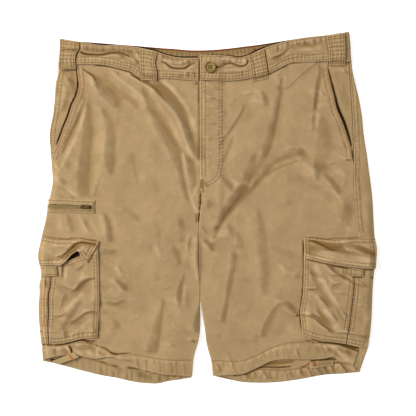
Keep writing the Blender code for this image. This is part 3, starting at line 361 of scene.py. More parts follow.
RIGHT_FACETS = [
    # on the fly
    Facet([(0, 183, 1.8), (7, 181, 2.2), (15, 178, 2)], -0.35, (1.5, 1.5)),
    Facet([(4, 206, 1), (10, 200, 1.2), (20, 195, 1.2)], -0.28, (1.2, 1.2)),
    Facet([(-2, 117, 1.2), (4, 113, 1.4), (12, 114, 1.2)], -0.28, (1.2, 1.2)),
    Facet([(5, 140, 1.8), (14, 138, 1.8)], -0.26, (1.5, 1.5)),
    Facet([(7, 166, 1.5), (17, 165, 1.5)], -0.26, (1.5, 1.5)),
    Facet([(7, 150, 1.2), (17, 149, 1.2)], -0.18, (1.5, 1.5)),
    Facet([(4, 90, 2), (12, 89, 2)], -0.22, (1.5, 1.5)),
    Facet([(2, 79, 1.2), (10, 71, 1.2)], -0.22, (1.2, 1.2)),
    Facet([(26, 165, 2.5), (29, 155, 4), (27, 148, 2.5)], -0.16, (2, 2)),
    Facet([(-7, 186, 2.5), (-6, 150, 2.5), (-5, 110, 3), (-3, 70, 4)], 0.16, (2, 1.5)),
    # the hook under the third loop, and the creases from it to the fly
    Facet([(57, 184, 1.5), (68, 188, 2), (81, 189, 2)], -0.24, (2, 1.5)),
    Facet([(85, 196, 1.5), (90, 189, 3.5), (94, 179, 5), (95, 170, 5.5), (96, 163, 3.5)], -0.34, (3, 2)),
    Facet([(65, 179, 3), (80, 178, 4)], 0.13, (1.5, 3)),
    Facet([(63, 166, 4), (75, 164, 4)], 0.07, (3, 3)),
    Facet([(48, 188, 2.5), (43, 176, 4), (40, 168, 3.5)], -0.1, (3, 3)),
    Facet([(60, 174, 1.5), (57, 161, 2.5), (50, 148, 3), (40, 133, 2.5), (32, 122, 2.2), (24, 110, 1.8),
           (20, 100, 1.5)], -0.34, (2, 2)),
    Facet([(75, 161, 3.5), (63, 148, 4), (53, 138, 3)], -0.09, (3, 3)),
    Facet([(50, 136, 2.5), (38, 121, 2.5)], 0.1, (3, 1)),
    Facet([(43, 122, 1.5), (37, 105, 2.5), (30, 89, 2.5), (24, 71, 2)], -0.2, (2, 2)),
    # the long trough under the waistband, and the crease that crosses to it
    Facet([(124, 219, 2.5), (119, 203, 4), (118, 186, 5), (114, 170, 5.5), (111, 153, 6), (107, 137, 6.5),
           (103, 120, 7.5), (98, 104, 8), (93, 87, 6), (90, 79, 2.5)], -0.3, (2, 4)),
    Facet([(187, 245, 1.5), (169, 231, 1.8), (153, 218, 1.8), (141, 207, 1.8), (133, 199, 2),
           (123, 196, 1.5)], -0.28, (1.5, 2)),
    Facet([(134, 244, 2), (121, 224, 2.5), (111, 208, 2)], -0.18, (2, 2)),
    Facet([(126, 222, 2.5), (126, 202, 2.5)], 0.2, (2, 2)),
    Facet([(136, 180, 7), (132, 150, 8), (124, 125, 6)], 0.04, (6, 2)),
    # the deep trough from the hip down to the crotch
    Facet([(80, 94, 2.5), (73, 79, 6), (70, 66, 7), (65, 52, 7.5), (60, 40, 8)], -0.23, (3, 4)),
    Facet([(62, 42, 6), (53, 28, 7.5), (45, 18, 7), (35, 5, 6.5), (27, -8, 6), (19, -23, 5), (9, -40, 3)],
          -0.56, (2, 5)),
    Facet([(83, 82, 5), (81, 66, 7), (76, 49, 6)], -0.12, (5, 5)),
    Facet([(66, 62, 5), (62, 42, 7), (55, 26, 7)], -0.22, (3, 4)),
    Facet([(118, 84, 8), (92, 62, 12), (70, 38, 11), (50, 10, 8), (32, -16, 5)], -0.09, (8, 6)),
    Facet([(72, 29, 2), (78, 39, 4), (86, 49, 3.5)], -0.19, (3, 1.5)),
    Facet([(88, 52, 2.5), (102, 68, 3), (113, 79, 3.5), (127, 86, 4), (143, 89, 5)], -0.14, (4, 1.5)),
    Facet([(90, 40, 5), (105, 58, 6), (119, 71, 6), (136, 78, 6), (155, 78, 6)], 0.22, (1.5, 6)),
    Facet([(22, 49, 1.8), (29, 43, 5), (37, 33, 6), (38, 24, 3)], -0.28, (2, 2)),
    Facet([(33, 54, 5), (43, 39, 4), (47, 26, 3)], 0.17, (2, 2)),
    Facet([(55, 2, 3), (46, -6, 4), (38, -14, 4)], 0.14, (4, 1.5)),
    # over the hip
    Facet([(128, 95, 2.5), (139, 95, 5.5), (152, 94, 6.5), (162, 89, 3.5)], -0.3, (3, 3)),
    Facet([(136, 123, 4), (149, 122, 4)], -0.09, (6, 6)),
    Facet([(129, 71, 3.5), (134, 54, 5), (136, 41, 3)], -0.09, (4, 4)),
    Facet([(129, 16, 4), (139, 3, 7)], -0.09, (5, 5)),
    Facet([(184, 240, 1.5), (184, 219, 3), (180, 198, 3.5), (178, 178, 3), (175, 158, 3.5)], -0.6, (1.2, 3)),
    Facet([(175, 158, 3.5), (174, 138, 3.5), (173, 122, 2.5)], -0.36, (1.5, 3)),
    Facet([(189, 219, 2), (185, 186, 2), (180, 153, 2.5), (178, 130, 2.5)], 0.26, (3, 1)),
    Facet([(185, 156, 3), (190, 137, 10), (192, 112, 13), (190, 87, 13), (184, 66, 10), (182, 46, 6)],
          -0.18, (6, 3)),
    Facet([(177, 79, 4), (180, 59, 5), (180, 41, 2.5)], -0.24, (2, 1.5)),
    Facet([(189, 59, 3.5), (202, 44, 5), (213, 31, 5), (218, 19, 2.5)], -0.3, (2, 2)),
    Facet([(182, 33, 5), (199, 26, 5), (212, 16, 5), (217, 3, 4)], 0.22, (1.5, 6)),
    Facet([(147, 75, 8), (164, 58, 9), (168, 36, 9)], 0.18, (2, 8)),
    Facet([(194, 13, 20), (194, -12, 21), (194, -36, 21)], 0.08, (6, 8)),
    Facet([(199, 72, 1.5), (213, 75, 1.5)], -0.24, (2, 2)),
    Facet([(199, 62, 4), (215, 60, 5), (227, 54, 4)], 0.18, (4, 4)),
    Facet([(230, 13, 6.5), (230, -12, 9), (225, -33, 8)], -0.22, (4, 1.5)),
    Facet([(228, -28, 2), (232, -40, 2.5)], 0.22, (2, 2)),
    Facet([(230, 66, 3), (228, 46, 4), (225, 30, 4)], -0.16, (3, 1.5)),
    Facet([(185, 194, 1.5), (191, 188, 1.8), (196, 183, 1.2)], -0.38, (1.2, 1.2)),
    Facet([(187, 178, 4), (192, 168, 5)], 0.16, (3, 3)),
    Facet([(220, 105, 1.2), (230, 100, 1.2)], -0.36, (1.2, 1.2)),
    Facet([(223, 82, 1.2), (233, 79, 1.8), (240, 84, 1.5)], -0.55, (1.2, 1.2)),
    Facet([(225, 92, 2), (235, 90, 2)], 0.28, (1.5, 1.5)),
    # the strip behind the side seam
    Facet([(245, 96, 3), (248, 62, 8), (251, 38, 7)], -0.14, (3, 3)),
    Facet([(253, 13, 1.5), (258, -7, 3), (265, -23, 2.5)], 0.28, (2, 1.5)),
    Facet([(249, 130, 1.5), (256, 140, 1.5)], -0.2, (1.5, 1.5)),
    # below the fly
    Facet([(0, 18, 3), (1, 5, 5), (-4, -2, 3)], -0.28, (2, 2)),
    Facet([(-9, -28, 1.5), (-4, -40, 2), (1, -45, 1.5)], -0.28, (1.5, 1.5)),
    Facet([(12, 30, 4), (14, 10, 4), (12, -8, 4)], 0.16, (3, 2)),
    Facet([(4, -8, 5), (8, -22, 4)], -0.12, (3, 3)),
    Facet([(-11, -50, 1.5), (-4, -55, 4), (2, -63, 5), (12, -73, 2)], -0.44, (2, 2)),
    Facet([(7, -53, 4), (17, -60, 6)], -0.14, (3, 3)),
    Facet([(12, -47, 3), (22, -40, 7), (33, -42, 6)], 0.24, (2, 2)),
    Facet([(30, -21, 1.5), (35, -31, 4), (40, -43, 5), (42, -55, 2.5)], -0.22, (1.5, 1.5)),
    # down the leg
    Facet([(47, -35, 2), (51, -50, 5), (53, -61, 7), (55, -69, 6)], -0.19, (2, 1.5)),
    Facet([(43, -69, 5), (42, -86, 5.5), (39, -106, 5), (35, -127, 4.5), (32, -147, 4), (29, -165, 4.5),
           (25, -182, 5), (25, -193, 4)], -0.3, (1.5, 1.5)),
    Facet([(38, -152, 1.5), (34, -182, 1.5), (35, -201, 1.5)], 0.13, (2, 1)),
    Facet([(50, -80, 3), (47, -110, 3)], -0.06, (3, 3)),
    Facet([(53, 4, 1.5), (50, -13, 2), (48, -30, 1.5)], -0.14, (2, 1)),
    Facet([(80, 0, 2.5), (85, -17, 5), (88, -36, 7), (90, -56, 8), (91, -78, 8), (93, -99, 7), (94, -119, 6),
           (93, -135, 6), (98, -147, 2.5)], -0.2, (5, 3)),
    Facet([(65, -12, 5), (68, -36, 7), (71, -61, 8), (75, -86, 8), (77, -111, 6), (77, -135, 5)], 0.13,
           (3, 5)),
    Facet([(100, -64, 5), (116, -69, 7), (133, -76, 7), (141, -86, 4)], -0.12, (4, 4)),
    Facet([(113, -89, 4), (121, -102, 4), (128, -114, 2.5)], 0.17, (2, 3)),
    Facet([(138, -114, 3), (147, -112, 5), (156, -114, 2.5)], -0.22, (3, 3)),
    # the dome beside the cargo pocket's lower corner
    Facet([(90, -218, 5), (93, -201, 5), (98, -188, 4.5), (105, -175, 4), (113, -163, 3.5), (121, -157, 3.5),
           (128, -157, 4), (136, -165, 5.5), (143, -173, 5), (151, -180, 2.5)], -0.36, (2, 6)),
    Facet([(105, -210, 10), (112, -192, 12)], -0.07, (6, 6)),
    Facet([(124, -193, 6), (139, -201, 8), (144, -218, 6)], 0.16, (5, 5)),
    Facet([(144, -177, 1.5), (151, -178, 2)], -0.6, (1.2, 1.2)),
    Facet([(18, -201, 2.5), (18, -218, 3.5)], -0.18, (2, 2)),
    Facet([(80, -201, 2.5), (80, -226, 4)], -0.14, (2, 2)),
    Facet([(7, -124, 2), (20, -132, 2.5)], -0.1, (3, 3)),
    Facet([(-4, -88, 1.5), (10, -96, 1.5)], -0.08, (3, 3)),
]

BACK_FACETS = [
    # the slanted gathers of the right back hem
    Facet([(55, -266, 1.5), (62, -276, 2), (66, -286, 2)], -0.3, (2, 1)),
    Facet([(90, -267, 1.5), (95, -275, 1.8), (101, -286, 1.5)], -0.5, (1.5, 1)),
    Facet([(111, -268, 1.5), (116, -284, 1.5)], -0.2, (3, 1.5)),
    Facet([(136, -268, 1.5), (139, -283, 1.5)], -0.35, (3, 1)),
    Facet([(152, -265, 1.5), (159, -281, 1.8)], -0.5, (3, 1)),
    Facet([(171, -266, 1.2), (179, -278, 1.5)], -0.45, (3, 1)),
    Facet([(182, -262, 1.5), (192, -276, 1.8)], -0.5, (3, 1)),
    Facet([(190, -261, 1.5), (200, -273, 1.8)], -0.5, (2, 1)),
    Facet([(204, -261, 1.2), (211, -270, 1.2)], -0.3, (3, 1)),
    Facet([(220, -259, 1.5), (232, -273, 1.8)], -0.55, (3, 1)),
    Facet([(228, -258, 3), (243, -270, 3)], 0.12, (3, 3)),
    # and of the left one
    Facet([(-79, -274, 2), (-79, -289, 2)], -0.3, (2, 2)),
    Facet([(-66, -278, 2), (-66, -288, 2)], -0.3, (2, 2)),
    Facet([(-144, -262, 1.5), (-148, -280, 1.5)], -0.14, (3, 3)),
    Facet([(-112, -270, 1.5), (-114, -288, 1.5)], -0.22, (3, 1.5)),
    Facet([(-102, -272, 1.5), (-105, -289, 1.5)], -0.16, (3, 1.5)),
    Facet([(-136, -262, 5), (-118, -272, 4), (-100, -278, 3)], -0.2, (4, 4)),
]
POCKET_FACETS = [
    Facet([(-233.5, -91, 2), (-235, -106, 2), (-236, -121, 2)], 0.34, (2, 1)),
    Facet([(-239, -90, 2), (-240, -120, 2)], -0.3, (1, 2)),
    Facet([(-222, -88, 2.5), (-223, -104, 2)], -0.14, (3, 3)),
    Facet([(-182, -115, 1.5), (-194, -116, 2.5), (-202, -120, 4), (-209, -127, 5), (-215, -133, 4),
           (-224, -136, 2)], -0.42, (2, 2)),
    Facet([(-230, -140, 4), (-237, -149, 4), (-240, -158, 2), (-242, -168, 1)], -0.24, (3, 2)),
    Facet([(-204, -136, 3), (-217, -149, 4), (-230, -162, 4), (-240, -172, 3)], 0.24, (4, 3)),
    Facet([(-207, -149, 4), (-217, -162, 5), (-227, -178, 5), (-238, -195, 5), (-243, -205, 3)], -0.22,
           (3, 4)),
    Facet([(-182, -173, 1.5), (-192, -171, 2.5), (-200, -173, 2.5), (-209, -179, 2.5), (-219, -186, 2.5),
           (-230, -190, 2)], -0.38, (2, 2)),
    Facet([(-190, -181, 4), (-205, -189, 4), (-215, -202, 4)], 0.18, (3, 4)),
    Facet([(-190, -128, 5), (-190, -160, 5)], 0.1, (4, 4)),
    Facet([(-232, -173, 1.5), (-242, -177, 1.5), (-250, -179, 1.5)], -0.34, (1.5, 1.5)),
    Facet([(-235, -198, 3), (-235, -218, 3)], -0.28, (2, 2)),
    Facet([(-227, -203, 4), (-226, -218, 4)], 0.16, (2, 3)),
    Facet([(-214, -200, 1.2), (-211, -214, 1.2)], -0.34, (1.5, 1.5)),
    Facet([(-208, -200, 1), (-206, -213, 1)], -0.24, (1.5, 1.5)),
    Facet([(-200, -90, 1.8), (-210, -99, 1.8), (-219, -104, 1.8)], -0.26, (1.5, 1.5)),
    Facet([(-198, -92, 3), (-206, -106, 3), (-212, -121, 3)], 0.2, (3, 2)),
    Facet([(-247, -104, 1.5), (-248, -116, 1.5)], -0.26, (1.5, 1.5)),
    Facet([(-273, -114, 3), (-269, -122, 3), (-264, -133, 3)], -0.3, (2, 2)),
    Facet([(-275, -203, 1), (-258, -204, 1.2), (-240, -206, 1)], -0.22, (1.5, 1.5)),
    Facet([(-272, -178, 1), (-265, -178, 1)], -0.22, (1.5, 1.5)),
    Facet([(-252, -128, 1), (-243, -133, 1)], -0.24, (1.5, 1.5)),
    Facet([(-188, -200, 1), (-182, -207, 1)], -0.24, (1.5, 1.5)),
    # the right one
    Facet([(172, -89, 5), (179, -106, 5), (186, -122, 5), (196, -139, 5), (206, -155, 5), (215, -168, 4)],
          0.28, (3, 4)),
    Facet([(165, -98, 3), (172, -112, 3), (178, -126, 3), (184, -138, 2)], -0.16, (3, 3)),
    Facet([(160, -107, 1.2), (172, -107, 1.4), (176, -114, 1.4)], -0.3, (1.5, 1.5)),
    Facet([(159, -132, 1.2), (172, -134, 1.5), (183, -132, 1.2)], -0.34, (1.5, 1.5)),
    Facet([(181, -142, 2.5), (189, -152, 3), (197, -162, 3), (203, -164, 2)], -0.34, (2, 2)),
    Facet([(182, -149, 2.5), (189, -165, 4), (199, -182, 5), (209, -195, 5), (215, -198, 3)], 0.26, (2, 3)),
    Facet([(202, -170, 1.8), (209, -180, 2), (215, -188, 1.5)], -0.42, (1.5, 1.5)),
    Facet([(176, -165, 3), (184, -174, 4), (194, -188, 4)], -0.24, (3, 1.5)),
    Facet([(156, -172, 1.8), (166, -175, 2), (174, -177, 2.2), (186, -188, 2.5), (197, -200, 2.5),
           (207, -207, 1.8)], -0.42, (1.5, 2.5)),
    Facet([(192, -91, 2), (202, -99, 3), (212, -109, 2.5), (222, -114, 2), (232, -119, 1.5)], -0.34,
           (2, 1.5)),
    Facet([(204, -94, 1.5), (207, -105, 1.5)], -0.24, (1.5, 1.5)),
    Facet([(195, -111, 1.4), (207, -124, 1.4)], 0.3, (1.5, 1.5)),
    Facet([(195, -118, 3), (199, -128, 2)], -0.2, (2, 1)),
    Facet([(199, -131, 1.4), (210, -127, 1.6), (222, -121, 1.4)], -0.32, (1.5, 1.5)),
    Facet([(222, -96, 1.5), (225, -112, 1.5)], -0.34, (1.5, 1.5)),
    Facet([(229, -98, 1.2), (229, -110, 1.2)], -0.24, (1.2, 1.2)),
    Facet([(212, -139, 1.2), (232, -142, 1.2)], -0.2, (1.5, 1.5)),
    Facet([(219, -170, 1.2), (227, -175, 1.4), (229, -188, 1.2)], -0.28, (1.5, 1.5)),
    Facet([(212, -205, 1.2), (229, -206, 1.4), (252, -211, 1.4), (264, -216, 1.2)], -0.3, (1.5, 1.5)),
    Facet([(245, -121, 1.4), (258, -126, 1.6), (265, -132, 1.4)], -0.3, (1.5, 1.5)),
    Facet([(250, -160, 1), (258, -163, 1)], -0.24, (1.5, 1.5)),
    Facet([(250, -147, 1), (262, -150, 1)], -0.16, (1.5, 1.5)),
    Facet([(262, -170, 4), (259, -196, 4)], 0.16, (4, 3)),
]
FLAP_FACETS = [
    Facet([(-182, -60.5, 1.5), (-191, -59, 2), (-200, -57.5, 2.5), (-210, -57, 3), (-217, -60, 4),
           (-224, -66, 5), (-230, -73, 4), (-240, -79, 2), (-252, -80, 1)], -0.6, (2, 1.5)),
    Facet([(-202, -63, 4), (-212, -67, 4), (-222, -74, 4), (-233, -83, 4), (-243, -87, 4), (-262, -88, 3.5)],
          0.36, (3, 2)),
    Facet([(-252, -61, 1), (-241, -65, 1.2), (-233, -64, 1)], -0.3, (1.5, 1.5)),
    Facet([(-256, -70, 2), (-250, -78, 2.5)], -0.2, (3, 3)),
    Facet([(-262, -58, 3), (-268, -75, 4)], 0.1, (4, 4)),
    Facet([(-186, -64, 4), (-194, -76, 5), (-199, -86, 3)], 0.16, (2, 3)),
    Facet([(-207, -70, 3), (-210, -74, 2)], -0.3, (2, 2)),
    Facet([(162, -53, 0.8), (171, -53.5, 1.2), (179, -55, 2), (186, -58, 3), (196, -62, 3.2), (204, -64, 3),
           (219, -65, 1.5)], -0.3, (1.5, 1.5)),
    Facet([(222, -55, 1.2), (232, -58.5, 3), (240, -62, 4), (249, -66, 4.5), (262, -71, 4), (275, -77, 2)],
          -0.3, (2, 2)),
    Facet([(224, -66, 3), (232, -71, 2)], 0.2, (2, 2)),
    Facet([(166, -66, 7), (179, -73, 8), (194, -77, 8), (219, -78, 8), (243, -84, 8), (268, -90, 7)],
          0.55, (2, 2)),
    Facet([(227, -74, 1), (232, -86, 1)], -0.16, (1.5, 1.5)),
    Facet([(262, -58, 3), (272, -62, 3)], 0.2, (2, 2)),
]
BAND_FACETS = [
    Facet([(-206, 263, 3), (-170, 261, 3.5), (-130, 259, 3)], -0.12, (2, 2)),
    Facet([(-205, 247, 3), (-170, 247, 4), (-135, 243, 3)], 0.14, (2, 2)),
    # soft columns in the upper roll
    Facet([(-200, 268, 1.5), (-201, 258, 1.5)], -0.3, (2, 3)),
    Facet([(-187, 269, 1.5), (-188, 258, 1.5)], -0.34, (2, 3)),
    Facet([(-172, 266, 1.8), (-173, 256, 1.5)], -0.34, (2, 4)),
    Facet([(-157, 267, 1.5), (-158, 258, 1.5)], -0.36, (2, 4)),
    Facet([(-128, 262, 1.2), (-129, 252, 1.2)], -0.34, (1.5, 3)),
    Facet([(-123, 256, 3), (-117, 250, 3), (-113, 240, 2)], 0.3, (2, 2)),
    Facet([(-121, 245, 1.5), (-113, 236, 1.5)], -0.45, (1.5, 1.5)),
    Facet([(-114, 261, 1.2), (-113, 251, 1.4), (-115, 244, 1)], -0.5, (1.5, 1.5)),
    Facet([(-150, 252, 3), (-136, 247, 3)], -0.2, (2, 2)),
    Facet([(-76, 252, 2), (-70, 246, 2)], -0.34, (2, 2)),
    Facet([(-55, 243, 1.2), (-55, 234, 1.2)], -0.34, (2, 3)),
    Facet([(-41, 244, 1.2), (-40, 234, 1.2)], -0.24, (2, 3)),
    Facet([(-30, 244, 2), (-33, 237, 2)], -0.4, (3, 1.5)),
    Facet([(-44, 226, 1.2), (-44, 214, 1.2)], -0.4, (1.5, 2)),
    Facet([(-33, 226, 1.5), (-32, 214, 1.5)], -0.5, (1.5, 2)),
    Facet([(-24, 226, 1.5), (-22, 214, 1.5)], -0.5, (1.5, 2)),
    Facet([(25, 246, 1.2), (24, 238, 1.2)], -0.4, (1.5, 2)),
    Facet([(37, 246, 1.2), (37, 240, 1.2)], -0.26, (1.5, 2)),
    Facet([(46, 246, 2), (48, 238, 2)], -0.3, (3, 2)),
    Facet([(58, 247, 2), (58, 236, 2)], 0.36, (2, 2)),
    Facet([(56, 228, 1.2), (57, 216, 1.2)], -0.34, (1.5, 2)),
    Facet([(114, 268, 1.8), (114, 256, 1.2)], -0.5, (1.5, 2.5)),
    Facet([(131, 274, 1.5), (133, 264, 1.5)], -0.4, (1.5, 2.5)),
    Facet([(146, 275, 2), (150, 267, 1)], -0.4, (2, 2)),
    Facet([(158, 276, 2), (164, 266, 1)], -0.44, (2, 2)),
    Facet([(173, 279, 1.8), (178, 268, 1)], -0.44, (2, 2)),
    Facet([(186, 281, 1.5), (188, 270, 1)], -0.3, (2, 2)),
    Facet([(102, 244, 4), (117, 249, 4), (132, 254, 3)], -0.2, (2, 3)),
    Facet([(142, 262, 3), (165, 264, 4), (190, 266, 3)], 0.2, (3, 3)),
]
FACING_FACETS = [
    Facet([(-236, 217, 2), (-229, 212, 3), (-224, 204, 4), (-221, 195, 5), (-223, 186, 4)], -0.5, (2, 2)),
    Facet([(-239, 205, 3), (-240, 192, 4), (-240, 178, 4)], 0.3, (3, 3)),
    Facet([(-247, 208, 1.5), (-249, 190, 1.8), (-251, 170, 1.8), (-247, 150, 1.5)], 0.34, (1.5, 1.5)),
    Facet([(-232, 183, 3), (-235, 170, 4), (-241, 155, 3)], -0.3, (3, 2)),
    Facet([(-226, 170, 3), (-236, 145, 3)], 0.16, (3, 3)),
    Facet([(212, 222, 3), (216, 205, 4), (222, 190, 4)], 0.2, (3, 3)),
    Facet([(222, 229, 2), (230, 224, 2.5), (236, 222, 2)], -0.5, (2, 2)),
    Facet([(221, 208, 3), (228, 185, 3), (232, 160, 3)], -0.26, (3, 3)),
]

# ---- Painted shade in gaps and creases ----

# Painted shade: a gap or a deep crease runs along a line of (x, y, half its width), is painted so dark, and
# has so soft an edge.
Gap = namedtuple("Gap", "line dark soft")

# the short creases across the hems, drawn only as painted shade, each from its upper end to its lower one
FRONT_HEM_CREASES = [
    (-147.5, -247.5, -139.5, -257.5), (-116.5, -247.5, -113, -269), (-101.5, -249.5, -100, -271),
    (-90, -247.5, -86.5, -261), (-78.5, -251, -77, -272.5), (-72, -251, -72, -272.5),
    (-60.5, -252.5, -57, -274), (-52, -252.5, -50.5, -276), (-39, -254.5, -35.5, -277.5),
    (15.5, -254.5, 24, -272.5), (24, -252.5, 29, -264), (32, -251, 35.5, -264),
    (40.5, -254.5, 48.5, -274), (78.5, -244.5, 85, -259.5), (90, -238, 96.5, -247.5),
    (113, -234.5, 118, -247.5), (131, -231, 134.5, -251), (146, -229.5, 154.5, -251),
    (179, -226.5, 180.5, -236), (189, -228, 195.5, -247.5), (228.5, -231, 238.5, -247.5),
]
BACK_HEM_CREASES = [
    (62, -271, 75, -286), (76.5, -267.5, 81.5, -284), (100, -267.5, 108, -287),
    (129.5, -267.5, 133, -281), (151, -264, 157.5, -281), (167.5, -266, 175.5, -281),
    (177.5, -262.5, 192, -277.5), (189, -261, 202, -276), (204, -259.5, 212, -274),
    (220.5, -257.5, 230, -271), (-177.5, -261, -172.5, -279), (-156, -267.5, -154.5, -282.5),
    (-133, -264, -133, -284), (-124.5, -266, -124.5, -287), (-95, -271, -93.5, -289),
    (-83.5, -272.5, -78.5, -289), (-72, -274, -68.5, -287),
]


def creases(rows, dark, over=0.0):
    """Painted shade along short creases, each drawn that share of its length past both of its ends."""
    gaps = []
    for x0, y0, x1, y1 in rows:
        dx, dy = over * (x1 - x0), over * (y1 - y0)
        gaps.append(Gap([(x0 - dx, y0 - dy, 1), (x1 + dx, y1 + dy, 0.8)], dark, 1.4))
    return gaps


# the open mouth of the left pocket, under its flap's turned corner, painted black as its shadow
MOUTH = Gap([(-234, -88, 1), (-227, -83.5, 3.2), (-220, -79, 5), (-213, -75, 6), (-209, -73, 6)], 1.0, 0.8)
